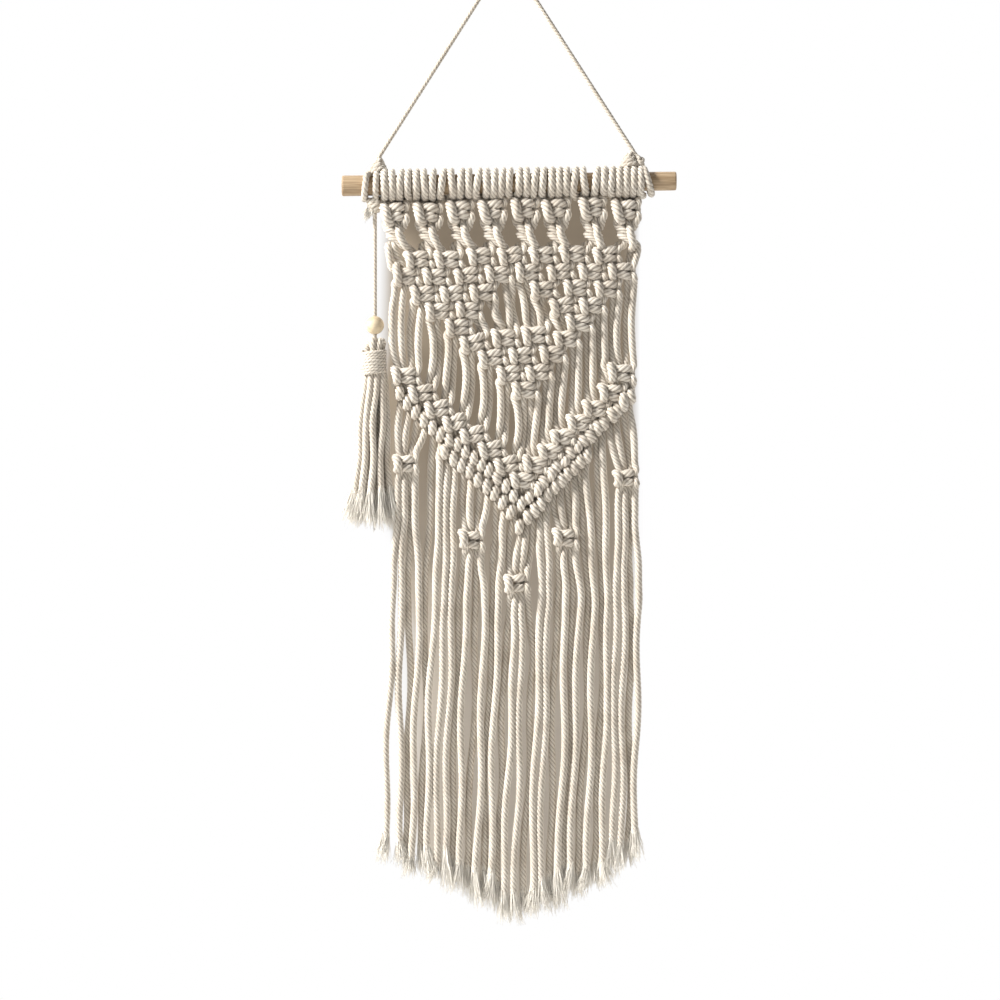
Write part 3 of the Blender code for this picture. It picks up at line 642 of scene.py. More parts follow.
def sinnet(x, z, slot):
    """One strand's way down the half knots: the outer two wind round the middle two in loose loops."""
    top, foot = SINNET
    if slot == 1:
        return [
            (x - 1.6, 2.0, top, 0.85),
            (x - 1.4, 2.4, (top + foot) / 2, 0.85),
            (x - 3.2, 1.0, foot - 1.0, 0.9),
        ]
    if slot == 2:
        return [
            (x + 0.4, -2.8, top + 1.0, 0.9),
            (x + 1.2, -5.4, top - 3.6, 1.06),
            (x + 2.6, -5.4, top - 8.4, 1.06),
            (x + 5.4, -3.0, foot, 1.0),
        ]
    path = []
    start = 0.0 if slot == 0 else pi
    wide, deep = SINNET_RADII
    height = top
    while height > foot - 0.1:
        angle = start + 2 * pi * (top - height) / SINNET_PITCH
        turned = (angle - start) % (2 * pi)
        front = turned if slot == 0 else (turned + pi) % (2 * pi)
        drop = SINNET_DROP * ((1 - cos(front)) / 2 - (0 if slot == 0 else 1))
        share = 0.8 + 0.3 * abs(cos(angle))
        path.append((x - wide * cos(angle), -deep * sin(angle), height - drop, share))
        height -= SINNET_PITCH / 8
    return path


def hitch_spot(row, strand):
    """The middle of a strand's oval turn in a row of hitches, or None."""
    first, step, line = row
    last = 16 if step > 0 else 17
    if not min(first, last) <= strand <= max(first, last):
        return None
    share = (strand - first) / (last - first)
    xs = np.array([x for x, _ in line])
    zs = np.array([z for _, z in line])
    x = xs[0] + share * (xs[-1] - xs[0])
    order = np.argsort(xs)
    return x, float(np.interp(x, xs[order], zs[order]))


def hitched(x, z, side):
    """A strand's turn over the held cord: down behind it, up in front as an oval, and down behind."""
    lean = 0.9 * sin(x * 2.3 + z * 1.1)
    z += 0.6 * sin(x * 1.3 - z * 0.7)
    return [
        (x - 0.6 * side, 3.4, z + HITCH_TALL + 1.6, 0.85),
        (x - 1.4 * side, 4.8, z, 0.7),
        (x - 1.0, 1.6, z - HITCH_TALL - 0.4, 0.75),
        (x + 0.9 + lean, -4.0, z - HITCH_TALL * 0.7, 1.14),
        (x, -5.6, z, 1.26),
        (x - 0.9 - lean, -4.0, z + HITCH_TALL * 0.7, 1.14),
        (x + 0.9, 1.4, z + HITCH_TALL + 0.4, 0.75),
        (x + 1.7 * side, 4.6, z, 0.7),
        (x + 0.6 * side, 2.4, z - HITCH_TALL - 2.2, 0.85),
    ]


def knots_of(strand):
    """The square knots that a strand passes below its sinnet, from the top: x, z and its slot."""
    met = []
    for first, step, middles, heights in KNOT_BARS:
        for i, (x, z) in enumerate(zip(middles, heights)):
            slot = strand - (first + step * i)
            if 0 <= slot < STRANDS_PER_KNOT:
                met.append((x, z, slot))
    return sorted(met, key=lambda knot: -knot[1])


# How the outermost strands come down beside the first rows of knots: x, y and z.
OUTER_RUNS = {
    1: ((-88.2, -1.0, -213.0), (-87.0, -0.6, -221.0), (-84.6, 0.0, -226.0)),
    2: ((-83.2, 2.6, -213.0), (-81.8, 2.0, -221.0)),
    31: ((92.6, 2.6, -211.0), (92.0, 2.0, -218.0)),
    32: ((97.2, -1.0, -211.0), (96.6, -1.0, -218.0)),
}


rng = np.random.default_rng(7)


def hang_free(start, stop, behind, bow, sway):
    """Points of a strand that hangs between two knots, in its layer and a little bowed."""
    points = []
    length = hypot(start[0] - stop[0], start[2] - stop[2])
    count = max(2, round(length / 14))
    wave = rng.uniform(0, 2 * pi)
    for i in range(1, count):
        share = i / count
        swell = sin(pi * share) ** 0.6
        x = start[0] + (stop[0] - start[0]) * share + bow * swell + sway * sin(9.0 * share + wave) * swell
        z = start[2] + (stop[2] - start[2]) * share
        y = start[1] + (stop[1] - start[1]) * share
        points.append((x, y + (behind - y) * min(1.0, 1.6 * swell), z, 1.0))
    return points


def net_strand(strand):
    """One strand's whole way in millimetres, from the fold on the dowel to its cut end."""
    x, z = HEADS[(strand - 1) // STRANDS_PER_KNOT]
    slot = (strand - 1) % STRANDS_PER_KNOT
    path = over_dowel(strand)
    path += [(x + (slot - 1.5) * 3.4, 3.0, z + 9.0, 0.9)]
    path += tied(x, z, slot, HEAD_SIZE, (False, False), HEAD_TAPER, HEAD_FULL)
    path += sinnet(x, z, slot)
    path += [(*spot, 1.0) for spot in OUTER_RUNS.get(strand, ())]
    knots = knots_of(strand)
    for i, (x, z, slot) in enumerate(knots):
        far_up = i > 0 and knots[i - 1][1] - z > FREE_RUN
        far_down = i + 1 == len(knots) or z - knots[i + 1][1] > FREE_RUN
        way = tied(x, z, slot, KNOT_SIZE, (far_up, far_down))
        if far_up:
            hang, depth = PAIRS_HANG[strand - 1], BEFORE if strand in IN_FRONT else BEHIND
            if z > MOUTH_FOOT:
                hang, depth = MOUTH_HANGS.get(strand, (hang, depth))
            bow = hang - (path[-1][0] + way[0][0]) / 2
            path += hang_free(path[-1], way[0], depth, bow, HELD_SWAY)
        path += way
    for row in HITCH_ROWS:
        spot = hitch_spot(row, strand)
        if spot:
            path += hitched(*spot, 1 if strand <= 16 else -1)
    swing_x, tip_x, comb, tip, behind = FRINGE[strand - 1]
    layer = BEHIND if behind else FRINGE_BEFORE
    start = path[-1]
    for first, x, z in SINGLE_KNOTS:
        slot = strand - first
        if 0 <= slot < STRANDS_PER_KNOT:
            way = tied(x, z, slot, SINGLE_SIZE, (True, True))
            for end in (0, -1):
                way[end] = (x + 0.8 * (way[end][0] - x), *way[end][1:])
            path += hang_free(start, way[0], layer, (slot - 1.5) * 1.2, HELD_SWAY)
            path += way
            start = path[-1]
    swing = (swing_x, layer, SWING_LINE if start[2] > SWING_LINE + 25 else SWING_LINE - 40)
    path += hang_free(start, swing, layer, 0.0, LOOSE_SWAY)
    path.append((*swing, 1.0))
    comb += rng.uniform(*COMB_LIFT)
    end = (tip_x, layer, comb)
    path += hang_free(swing, end, layer, rng.uniform(-FREE_BOW, FREE_BOW), FREE_SWAY)
    return path + [(*end, 1.0)] + [(tip_x, layer, comb - down, share) for down, share in STRAND_END]


def even_points(path, step):
    """Points step millimetres apart on a smooth curve through path."""
    known = np.array(path)
    known = np.vstack([2 * known[0] - known[1], known, 2 * known[-1] - known[-2]])
    a, b, c, d = known[:-3, None], known[1:-2, None], known[2:-1, None], known[3:, None]
    t = np.linspace(0, 1, 12, endpoint=False)[None, :, None]
    fine = 0.5 * (2 * b + (c - a) * t + (2 * a - 5 * b + 4 * c - d) * t**2 + (3 * b - a - 3 * c + d) * t**3)
    fine = np.vstack([fine.reshape(-1, 4), known[-2]])
    run = np.concatenate([[0], np.cumsum(np.linalg.norm(np.diff(fine[:, :3], axis=0), axis=1))])
    places = np.linspace(0, run[-1], max(2, round(run[-1] / step) + 1))
    return np.stack([np.interp(places, run, fine[:, i]) for i in range(4)], axis=1)


def settle(ways, radius, rounds):
    """Push strands that lie in each other apart, and even out their bends, round by round."""
    points = np.vstack([way[:, :3] for way in ways])
    thick = np.concatenate([way[:, 3] for way in ways]) * radius * SETTLE_PRESS
    owner = np.concatenate([np.full(len(way), i) for i, way in enumerate(ways)])
    first = np.concatenate([[0], np.cumsum([len(way) for way in ways])])
    ends = np.zeros(len(points), bool)
    ends[first[:-1]] = True
    ends[first[1:] - 1] = True
    inner = np.flatnonzero(~ends)
    home = points.copy()
    for turn in range(rounds):
        if turn % 5 == 0:
            tree = kdtree.KDTree(len(points))
            for i, point in enumerate(points):
                tree.insert(point, i)
            tree.balance()
            pairs = [
                (i, j)
                for i, point in enumerate(points)
                for _, j, _ in tree.find_range(point, 2.3 * radius)
                if j > i and (owner[i] != owner[j] or j - i > 3)
            ]
            one, other = np.array(pairs).T
        apart = points[one] - points[other]
        distance = np.maximum(np.linalg.norm(apart, axis=1), 1e-6)
        wanted = thick[one] + thick[other]
        push = np.maximum(wanted - distance, 0)[:, None] * apart / distance[:, None] * 0.5
        moved = np.zeros_like(points)
        count = np.zeros(len(points))
        touching = distance < wanted
        np.add.at(moved, one[touching], push[touching])
        np.add.at(moved, other[touching], -push[touching])
        np.add.at(count, one[touching], 1)
        np.add.at(count, other[touching], 1)
        points += moved / np.maximum(count, 1)[:, None] * SETTLE_PUSH
        middle = 0.5 * (points[inner - 1] + points[inner + 1])
        points[inner] += SETTLE_EVEN * (middle - points[inner])
        points[inner] += SETTLE_HOLD * (home[inner] - points[inner])
    return [np.hstack([points[a:b], ways[i][:, 3:]]) for i, (a, b) in enumerate(zip(first, first[1:]))]


ways = [even_points(net_strand(strand), STRAND_STEP) for strand in range(1, STRANDS + 1)]
held_cords = [even_points([(x, 0.6, z, 0.8) for x, z in line], STRAND_STEP) for *_, line in HITCH_ROWS]
settled = settle(ways + held_cords, CORD_RADIUS, SETTLE_ROUNDS)
net_pieces = []
for group in range(STRANDS // STRANDS_PER_KNOT):
    first = group * STRANDS_PER_KNOT
    piece = twist(
        f"strands_{first + 1:02d}_{first + STRANDS_PER_KNOT:02d}",
        settled[first : first + STRANDS_PER_KNOT],
        CORD_RADIUS,
        cotton,
    )
    net_pieces.append(piece)
net_pieces.append(twist("held_cords", settled[STRANDS:], CORD_RADIUS, cotton, spacing=2.0))
for piece in net_pieces:
    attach(piece, "root")
    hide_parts("knotted_net")


# The knots at the hanging cord's ends. The same cord, worked loosely: on the left a soft knot on top of
# the dowel, two turns round it and a small frayed knot below; on the right two knots and one turn.
KNOT_CORD = 2.15
TURN_GAP = 0.3


def wound(top, foot, radii, turns, start=0.0, share=1.0):
    """Points of a cord wound in a widening coil from top down to foot."""
    steps = round(turns * 12)
    points = []
    for i in range(steps + 1):
        along = i / steps
        angle = start + 2 * pi * turns * along
        radius = radii[0] + (radii[1] - radii[0]) * along
        middle = Vector(top).lerp(Vector(foot), along)
        spread = Vector((radius * cos(angle), -0.8 * radius * sin(angle), 0.5 * sin(2.3 * angle)))
        points.append((*(middle + spread), share))
    return points


def round_dowel(x_top, x_bottom, share=1.0):
    """Points of one turn round the dowel that starts and ends on top of it."""
    points = []
    for i in range(17):
        angle = 2 * pi * i / 16
        x = x_top + (x_bottom - x_top) * (1 - cos(angle)) / 2
        close = dowel_radius(x) + TURN_GAP + KNOT_CORD
        points.append((x, -close * sin(angle), dowel_middle(x) + close * cos(angle), share))
    return points


left_knot = [(-95.6, 0, -143.2, 0.85), (-96.1, 0, -144.6, 0.95)]
left_knot += wound((-95.8, 0, -146.4), (-96.6, 0, -154.8), (1.8, 6.6), 3.6, 0.5, 1.05)
left_knot += round_dowel(-104.0, -106.4, 1.12)[2:-1] + round_dowel(-97.2, -97.8, 1.12)[:-3]
under_left = wound((-98.2, -0.5, -175.6), (-98.8, -0.4, -184.0), (5.2, 2.4), 3.4, 1.2, 1.1)
under_left += [(-101.6, -2.0, -181.8, 0.8), (-104.2, -2.6, -183.0, 0.6)]
right_knot = wound((91.4, 0, -141.6), (91.8, 0, -151.0), (1.6, 6.2), 3.8, 0.2, 1.0)
right_ball = [(93.2, 0, -137.6, 0.8), (94.8, 0, -140.2, 0.8), (96.6, -0.2, -142.8, 0.85)]
right_ball += [
    (99.4 + 1.7 * cos(0.9 * i), -0.6 - 1.7 * sin(0.9 * i), -147.0 + 2.2 * sin(0.63 * i), 0.85)
    for i in range(2, 20)
]
right_turn = [(100.4, 0.8, -149.0, 0.9)] + round_dowel(101.8, 107.8, 1.22)
KNOTS = (
    ("left_knot", [left_knot, under_left], "hanger_knot_left"),
    ("right_knot", [right_knot, right_ball, right_turn], "hanger_knot_right"),
)
for name, routes, node in KNOTS:
    knot = twist(
        name, [even_points(route, 0.9) for route in routes], KNOT_CORD, thin_cotton,
        plies=3, groove=0.2, turn=11.0, spacing=0.8,
    )  # fmt: skip
    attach(knot, "root")
    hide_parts(node)


# The bead: a plain turned wooden ball with a drilled hole, which the tassel's cord runs through.
BEAD_MIDDLE = -268.9
BEAD_RADIUS = 6.9
BEAD_BORE = 1.9
BEAD_SIDES, BEAD_STEPS = 48, 32

bead_wood = wood_material(
    "Turned bead wood",
    light=(0.70, 0.59, 0.42),
    dark=(0.58, 0.46, 0.30),
    across=120.0,
    along=60.0,
    bands=14.0,
)
edge = asin(BEAD_BORE / BEAD_RADIUS)
profile = []
for i in range(BEAD_STEPS + 1):
    angle = edge + (pi - 2 * edge) * i / BEAD_STEPS
    profile.append((BEAD_RADIUS * sin(angle), BEAD_RADIUS * cos(angle)))
profile[0] = (profile[0][0] + 0.25, profile[0][1] - 0.1)
profile[-1] = (profile[-1][0] + 0.25, profile[-1][1] + 0.1)
profile = [(BEAD_BORE, profile[0][1] - 0.3)] + profile + [(BEAD_BORE, profile[-1][1] + 0.3)]
profile.append(profile[0])
angles = [2 * pi * i / BEAD_SIDES for i in range(BEAD_SIDES)]
bead_rings = [
    [((TASSEL_X + r * cos(angle)) * MM, r * sin(angle) * MM, (BEAD_MIDDLE + h) * MM) for angle in angles]
    for r, h in profile
]
bead_shape = rings_mesh(bead_rings)
bmesh.ops.remove_doubles(bead_shape, verts=bead_shape.verts, dist=1e-6)
bead = mesh_piece("turned_bead", bead_shape, bead_wood)
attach(bead, "root")
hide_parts("tassel_bead")


# The tassel: lengths of the same 5 mm cotton folded over the cord's end knot, so that a few loops show
# on top, bound with a thin wrapped cord, and combed out at the tips.
TASSEL_RADIUS = 2.5
TASSEL_ROUNDS = 40
TASSEL_LOOPS = (
    (-5.2, -0.6, 2.6, -281.0, 0.95),
    (-1.0, -1.6, 3.2, -276.6, 1.15),
    (2.9, -1.4, 3.0, -277.2, 1.0),
    (0.8, 2.6, 2.4, -277.2, 1.0),
    (-3.4, 2.4, 2.4, -278.6, 0.95),
)
WRAP_TOP = -287.6
WRAP_TURNS = 8
WRAP_STEPS = 14
WRAP_PITCH = 2.15
WRAP_RADII = (8.4, 7.9)
WRAP_CORD = 1.35
WRAP_GROOVE = 0.12
TASSEL_COMB = -392.5
# The hanging strands: x and y under the wrap, and x and y at the comb line.
TASSEL_STRANDS = (
    (-5.8, -2.2, -15.0, -2.4), (-2.6, -4.4, -9.6, -4.0), (1.6, -4.6, -3.0, -5.0),
    (5.0, -3.2, 4.8, -4.0), (6.4, 0.8, 11.2, -0.8), (-6.0, 2.2, -12.2, 2.8),
    (1.8, 4.6, 1.4, 4.4), (-2.4, 4.6, -6.0, 4.8), (5.2, 3.8, 8.0, 3.6), (-1.4, -0.6, -6.4, -0.4),
)  # fmt: skip

loops = []
for x, y, reach, top, share in TASSEL_LOOPS:
    x += TASSEL_X
    loops.append(
        [
            (x * 0.5 + TASSEL_X * 0.5, y - reach * 0.6, -294.0, 0.7),
            (x * 0.8 + TASSEL_X * 0.2, y - reach * 0.8, -288.6, 0.8 * share),
            (x, y - reach * 0.9, top - 3.6, share),
            (x, y, top - TASSEL_RADIUS, share),
            (x, y + reach * 0.9, top - 3.6, share),
            (x * 0.8 + TASSEL_X * 0.2, y + reach * 0.8, -288.6, 0.8 * share),
            (x * 0.5 + TASSEL_X * 0.5, y + reach * 0.6, -294.0, 0.7),
        ]
    )
hanging = []
for x, y, tip_x, tip_y in TASSEL_STRANDS:
    sway = rng.uniform(-1.6, 1.6)
    comb = TASSEL_COMB + rng.uniform(-3.0, 3.0)
    hanging.append(
        [
            (TASSEL_X + 0.65 * x, 0.65 * y, -296.0, 0.8),
            (TASSEL_X + 0.9 * x, 0.9 * y, -303.0, 0.9),
            (TASSEL_X + x * 1.15, y * 1.05, -314.0, 1.0),
            (TASSEL_X + 0.62 * x + 0.38 * tip_x + sway, 0.5 * (y + tip_y), -341.0, 1.0),
            (TASSEL_X + 0.30 * x + 0.70 * tip_x - 0.6 * sway, 0.3 * y + 0.7 * tip_y, -368.0, 1.0),
            (TASSEL_X + tip_x, tip_y, comb, 1.0),
            (TASSEL_X + tip_x, tip_y, comb - 5.0, 0.35),
        ]
    )
tassel_ways = [even_points(way, STRAND_STEP) for way in loops + hanging]
settled_tassel = settle(tassel_ways, TASSEL_RADIUS, TASSEL_ROUNDS)
wrap = []
for i in range(WRAP_TURNS * WRAP_STEPS + 1):
    angle = 2 * pi * i / WRAP_STEPS + 2.6
    wrap.append(
        (
            TASSEL_X - 1.0 + WRAP_RADII[0] * cos(angle) + 0.3 * sin(i * 0.9),
            -WRAP_RADII[1] * sin(angle),
            WRAP_TOP - WRAP_PITCH * i / WRAP_STEPS + 0.7 * cos(angle) + 0.25 * sin(i * 0.37),
            1.0 + 0.06 * sin(i * 0.61),
        )
    )
tassel = twist("tassel_strands", settled_tassel, TASSEL_RADIUS, cotton)
bound = even_points(wrap, 1.0)
binding = twist("tassel_binding", [bound], WRAP_CORD, cotton, **{**THIN_LAY, "groove": WRAP_GROOVE})
for piece in (tassel, binding):
    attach(piece, "root")
    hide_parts("tassel")


# The combed ends: every strand of the fringe and the tassel is unlaid for its last 10 to 30 mm and
# combed into a loose brush of single cotton fibres.
FIBRES = 84
FIBRE_RADIUS = 0.34
FIBRE_WAVES = 5.0
UNLAID = 6.0  # how far above its end a strand starts to come apart


def combed_end_tree():
    """Geometry nodes that grow a brush of curved fibres downwards from each point."""
    inputs = (
        ("Fibres", "Int"), ("Fibre radius", "Float"), ("Cord radius", "Float"), ("Spread", "Float"),
        ("Waviness", "Float"), ("Cotton", "Material"),
    )  # fmt: skip
    tree, given, result = new_tree("Combed end", "Tips", inputs, "Brushes")
    math = partial(math_of, tree)

    def vector(operation, *values):
        return node_of(tree, "ShaderNodeVectorMath", *values, operation=operation).outputs[0]

    def random(low, high, seed):
        limits = {"Min": low, "Max": high, "Seed": seed}
        return node_of(tree, "FunctionNodeRandomValue", data_type="FLOAT_VECTOR", inputs=limits).outputs[0]

    def kept(name, kind="FLOAT_VECTOR"):
        node = node_of(tree, "GeometryNodeInputNamedAttribute", name, data_type=kind)
        return [output for output in node.outputs if output.enabled][0]

    points = node_of(tree, "GeometryNodeMeshToPoints", given["Tips"]).outputs[0]
    amount = {"Geometry": points, "Amount": given["Fibres"]}
    many = node_of(tree, "GeometryNodeDuplicateElements", domain="POINT", inputs=amount).outputs[0]
    around = vector("NORMALIZE", random((-1, -1, 0), (1, 1, 0), 3))
    aside = vector("MULTIPLY", around, random((0.35, 0.35, 0), (1, 1, 0), 4))
    marked = keep(tree, many, "aside", aside, "FLOAT_VECTOR")
    marked = keep(tree, marked, "toss", random((-1, -1, 0), (1, 1, 1), 5), "FLOAT_VECTOR")
    start = scaled(tree, kept("aside"), math("MULTIPLY", given["Cord radius"], 0.98))
    ragged = vector("ADD", start, random((0, 0, -0.003), (0, 0, 0.003), 6))
    roots = node_of(tree, "GeometryNodeSetPosition", marked, None, None, ragged).outputs[0]
    ends = {"Start": (0, 0, 0), "End": (0, 0, -1)}
    line = node_of(tree, "GeometryNodeCurvePrimitiveLine", inputs=ends).outputs[0]
    steps = {"Curve": line, "Count": 6}
    stepped = node_of(tree, "GeometryNodeResampleCurve", mode="COUNT", inputs=steps).outputs[0]
    factor = tree.nodes.new("GeometryNodeSplineParameter").outputs["Factor"]
    fibre = keep(tree, stepped, "share", factor)
    toss = node_of(tree, "ShaderNodeSeparateXYZ", kept("toss")).outputs
    length = math("MULTIPLY", kept("brush", "FLOAT"), math("MULTIPLY_ADD", toss[2], 0.4, 0.65))
    stretch = node_of(tree, "ShaderNodeCombineXYZ", 1.0, 1.0, length).outputs[0]
    where = {"Points": roots, "Instance": fibre, "Scale": stretch}
    planted = node_of(tree, "GeometryNodeInstanceOnPoints", inputs=where).outputs[0]
    fibres = node_of(tree, "GeometryNodeRealizeInstances", planted).outputs[0]
    share = kept("share", "FLOAT")
    bent = math("POWER", share, 1.3)
    splay = scaled(tree, kept("aside"), math("MULTIPLY", given["Spread"], bent))
    lean = scaled(tree, kept("lean"), bent)
    place = tree.nodes.new("GeometryNodeInputPosition").outputs[0]
    cloud = {"Vector": vector("MULTIPLY", place, (700.0, 700.0, 75.0)), "Scale": 1.0, "Detail": 1.0}
    noise = node_of(tree, "ShaderNodeTexNoise", inputs=cloud).outputs["Color"]
    around_none = vector("SUBTRACT", noise, (0.5, 0.5, 0.5))
    wave = scaled(tree, around_none, math("MULTIPLY", given["Waviness"], share))
    level = vector("MULTIPLY", kept("toss"), (1, 1, 0))
    tossed = scaled(tree, level, math("MULTIPLY", math("MULTIPLY", given["Spread"], 0.5), share))
    moved = vector("ADD", vector("ADD", splay, lean), vector("ADD", wave, tossed))
    swayed = node_of(tree, "GeometryNodeSetPosition", fibres, None, None, moved).outputs[0]
    ring = node_of(tree, "GeometryNodeCurvePrimitiveCircle", 3, 1.0, mode="RADIUS").outputs[0]
    tapered = math("MULTIPLY", given["Fibre radius"], math("MULTIPLY_ADD", share, -0.6, 1.0))
    sweep(tree, swayed, ring, tapered, given["Cotton"], result)
    return tree


combed_end = combed_end_tree()
# The combed fibres are lighter than the cord's cotton: painted light, for the light that thin fibres let
# through.
combed_cotton, combed_nodes, combed_shader = new_material("Combed cotton")
combed_looks = {
    "Base Color": (0.88, 0.84, 0.765, 1),
    "Roughness": 0.8,
    "Sheen Weight": 0.4,
    "Specular IOR Level": 0.2,
}
feed(combed_nodes, combed_shader, combed_looks)


def combed_ends(name, tips, radius, spread, node):
    """Grow brushes from tips of (x, y, z, brush length, lean) in millimetres."""
    mesh = bpy.data.meshes.new(name)
    mesh.from_pydata([(x * MM, y * MM, z * MM) for x, y, z, _, _ in tips], [], [])
    brush = mesh.attributes.new("brush", "FLOAT", "POINT")
    lean = mesh.attributes.new("lean", "FLOAT_VECTOR", "POINT")
    for i, (_, _, _, length, away) in enumerate(tips):
        brush.data[i].value = length * MM
        lean.data[i].vector = (away * MM, rng.uniform(-1.5, 1.5) * MM, 0)
    values = {
        "Fibres": FIBRES,
        "Fibre radius": FIBRE_RADIUS * MM,
        "Cord radius": radius * MM,
        "Spread": spread * MM,
        "Waviness": FIBRE_WAVES * MM,
        "Cotton": combed_cotton,
    }
    piece = made_by(combed_end, placed(name, mesh), name, values)
    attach(piece, "root")
    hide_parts(node)
    return piece


fringe_tips = []
for way, (_, _, comb, tip, _) in zip(settled, FRINGE):
    x, y, z = way[-1][:3]
    fringe_tips.append((x, y, z + UNLAID, z + UNLAID - tip, rng.uniform(-4.0, 4.0)))
tassel_tips = []
for way in settled_tassel[len(TASSEL_LOOPS) :]:
    x, y, z = way[-1][:3]
    tassel_tips.append((x, y, z + UNLAID, rng.uniform(23.0, 30.0), 0.35 * (x - TASSEL_X)))
knot_tail = [(-103.4, -2.7, -181.4, 8.0, -2.5), (-100.6, -2.9, -182.2, 5.0, -1.0)]
combed_ends("knot_tail", knot_tail, 1.4, 1.6, "hanger_knot_left")
combed_ends("combed_fringe", fringe_tips, CORD_RADIUS, 3.9, "knotted_net")
tassel_ends = combed_ends("combed_tassel", tassel_tips, TASSEL_RADIUS, 3.8, "tassel")
hang_cord(tassel_cord)


# The wall and the floor, which are no part of the hanging: a pale painted wall close behind it, which
# carries a painted shade of the net, lifted by a faint glow, and glows white beside it, and a pale floor
# far below. Each is seen from the front only.
WALL_Y = 0.0185
FLOOR_Z = -0.98
STAGE_REACH = 2.4
WALL_TOP = 1.6
WALL_STEP = 0.004
FINE_ACROSS, FINE_DOWN = (-0.14, 0.1401), (-0.76, -0.1399)  # where the wall has squares of that size
# The wall's two tones are those of the net's painted shade, low and high on the wall; the floor's tone is
# its own.
WALL_SHADE_TONE, WALL_SHADE_TONE_HIGH, FLOOR_TONE = (0.57, 0.52, 0.455), (0.36, 0.30, 0.23), (0.85, 0.84, 0.82)
# The painted shade is part paint and part glow, a painted light that lifts it.
WALL_PAINT, WALL_GLOW = 0.55, 0.48  # how much of the shaded tone is paint, and how much is light
# The part of the wall that is painted darker, as the net shades it. It is one row a height: z, x on
# the left, x on the right and the widths over which the shade fades there, in metres.
SHADED = (
    (-0.160, -0.089, 0.096, 0.012, 0.010), (-0.280, -0.091, 0.095, 0.018, 0.010),
    (-0.312, -0.094, 0.095, 0.006, 0.010), (-0.395, -0.093, 0.096, 0.005, 0.010),
    (-0.425, -0.085, 0.096, 0.008, 0.010), (-0.500, -0.073, 0.092, 0.018, 0.010),
    (-0.640, -0.070, 0.090, 0.016, 0.010), (-0.670, -0.064, 0.090, 0.010, 0.010),
)  # fmt: skip
SHADED_ABOVE_TIPS = 0.006  # how far above the longest fibres the shade ends
SHADED_TOP = -0.163
FADE_AT_FOOT, FADE_AT_TOP = 0.008, 0.004
# The painted shade is deepest high up, under the heads and the upper knots, and grows lighter lower down.
DIM_ABOVE, LIGHT_BELOW = -0.34, -0.56  # heights between which the shaded wall grows lighter


def shaded_share(x, z):
    """1 where the wall carries the net's painted shade, 0 where it glows white."""
    heights = [-row[0] for row in SHADED]
    left, right, fade_left, fade_right = (
        float(np.interp(-z, heights, [row[i] for row in SHADED])) for i in range(1, 5)
    )
    tips = sorted((row[1] * MM, row[3] * MM) for row in FRINGE)
    foot = float(np.interp(x, [tip[0] for tip in tips], [tip[1] for tip in tips])) + SHADED_ABOVE_TIPS
    inside = (x - left, right - x, z - foot, SHADED_TOP - z)
    share = 1.0
    for gap, fade in zip(inside, (fade_left, fade_right, FADE_AT_FOOT, FADE_AT_TOP)):
        part = min(1.0, max(0.0, 0.5 + gap / fade))
        share *= part * part * (3 - 2 * part)
    return share


def paint_material(name, color, shade_high_color=None):
    """Flat paint, clear from behind. The wall's paint carries the net's painted shade in two tones, lifted
    by a faint glow of painted light, and glows white beside the hanging.
    """
    paint, tree, shader = new_material(name)
    feed(tree, shader, {"Base Color": (*color, 1), "Roughness": 0.95, "Specular IOR Level": 0.1})
    surface = shader.outputs[0]
    if shade_high_color:
        # Painted shade in two tones, which glows a little as painted light; outside it the wall glows
        # white.
        tone = ramp_of(tree, attribute(tree, "low"), (0.0, shade_high_color), (1.0, color))
        lit = {"Emission Color": tone, "Emission Strength": WALL_GLOW}
        feed(tree, shader, {"Base Color": scaled(tree, tone, WALL_PAINT), **lit})
        shine = node_of(tree, "ShaderNodeEmission", (1, 1, 1, 1), 1.0).outputs[0]
        shaded = attribute(tree, "shaded")
        surface = node_of(tree, "ShaderNodeMixShader", shaded, shine, surface).outputs[0]
    clear = tree.nodes.new("ShaderNodeBsdfTransparent").outputs[0]
    behind = tree.nodes.new("ShaderNodeNewGeometry").outputs["Backfacing"]
    seen = node_of(tree, "ShaderNodeMixShader", behind, surface, clear)
    tree.links.new(seen.outputs[0], tree.nodes["Material Output"].inputs["Surface"])
    return paint


def stage_sheet(name, points, faces, paint):
    mesh = bpy.data.meshes.new(name)
    mesh.from_pydata(points, [], faces)
    mesh.materials.append(paint)
    sheet = placed(name, mesh)
    sheet.visible_shadow = False  # so that the light from behind reaches the hanging's back
    return mesh


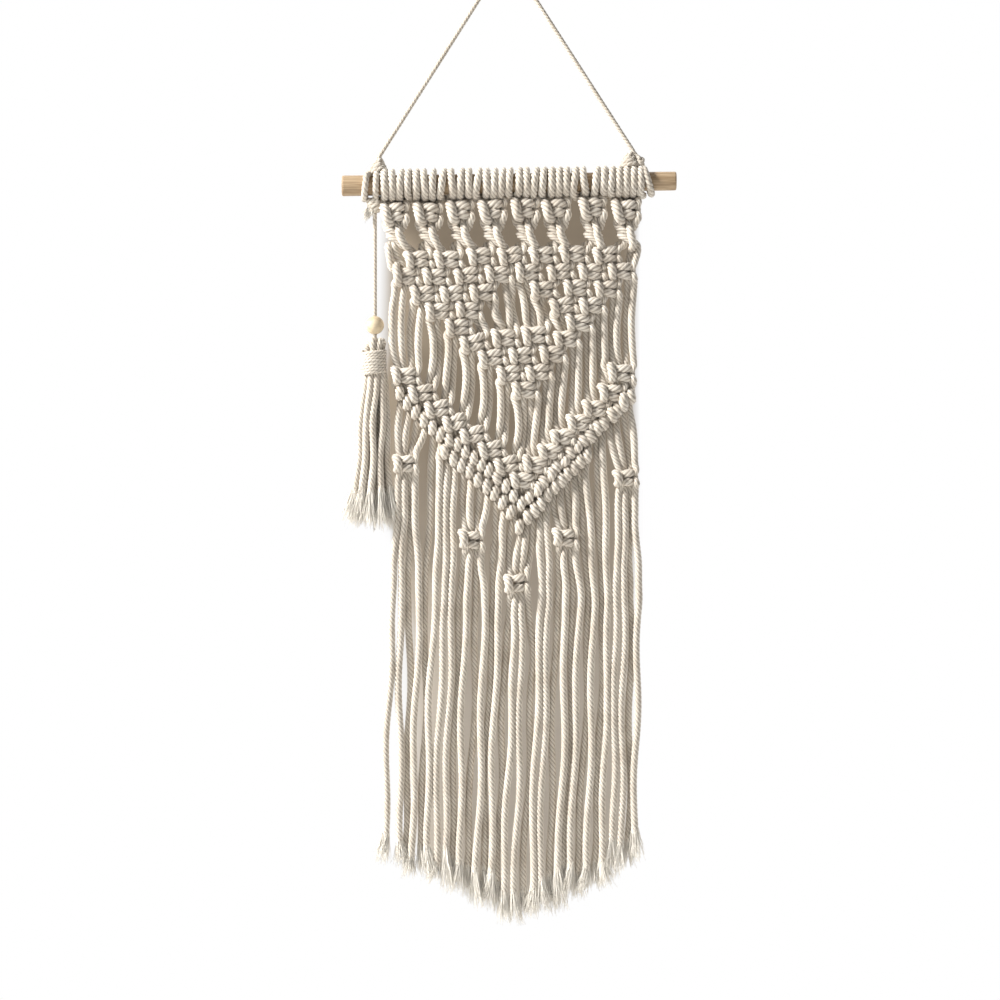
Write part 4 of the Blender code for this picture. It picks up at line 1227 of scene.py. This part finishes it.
across = [-STAGE_REACH] + list(np.arange(*FINE_ACROSS, WALL_STEP)) + [STAGE_REACH]
down = [FLOOR_Z] + list(np.arange(*FINE_DOWN, WALL_STEP)) + [WALL_TOP]
wide = len(across)
squares = [(i, i + 1, i + 1 + wide, i + wide) for i in range(wide * (len(down) - 1)) if (i + 1) % wide]
wall_points = [(x, WALL_Y, z) for z in down for x in across]
wall_paint = paint_material("Wall paint", WALL_SHADE_TONE, WALL_SHADE_TONE_HIGH)
wall_mesh = stage_sheet("wall", wall_points, squares, wall_paint)
shaded = wall_mesh.attributes.new("shaded", "FLOAT", "POINT")
shaded.data.foreach_set("value", [shaded_share(x, z) for z in down for x in across])
low = wall_mesh.attributes.new("low", "FLOAT", "POINT")
heights = [float(np.interp(-z, (-DIM_ABOVE, -LIGHT_BELOW), (0.0, 1.0))) for z in down]
low.data.foreach_set("value", [height for height in heights for x in across])
near, far = -STAGE_REACH, STAGE_REACH
floor_points = [(x, y, FLOOR_Z) for x, y in ((near, near), (far, near), (far, WALL_Y), (near, WALL_Y))]
stage_sheet("floor", floor_points, [(0, 1, 2, 3)], paint_material("Floor paint", FLOOR_TONE))


# The light: a soft window high on the left in front, weak light from the room on the right and on the
# back, and a pale surrounding.
NET_MIDDLE = Vector((0.0, 0.0, -0.42))
# Name, place, width and height, power in watts and colour. All are turned to the net's middle.
LIGHTS = (
    ("Window", (-1.75, -0.62, 0.8), 0.5, 100.0, (1.0, 0.985, 0.96)),
    ("Room", (1.2, -2.0, -0.2), 1.8, 4.0, (1.0, 0.98, 0.96)),
    ("Behind", (0.6, 1.6, 0.5), 1.2, 20.0, (1.0, 0.99, 0.98)),
)
for name, place, size, power, color in LIGHTS:
    lamp = bpy.data.lights.new(name, "AREA")
    lamp.shape = "RECTANGLE"
    lamp.size, lamp.size_y = size, size
    lamp.energy = power
    lamp.color = color
    light = placed(name, lamp)
    light.location = place
    light.rotation_mode = "QUATERNION"
    light.rotation_quaternion = (NET_MIDDLE - Vector(place)).to_track_quat("-Z", "Y")
world = bpy.data.worlds.new("Studio")
world.use_nodes = True
pale = world.node_tree.nodes["Background"]
feed(world.node_tree, pale, {"Color": (0.97, 0.97, 0.98, 1), "Strength": 0.22})
bpy.context.scene.world = world
bpy.context.scene.view_settings.view_transform = "Standard"
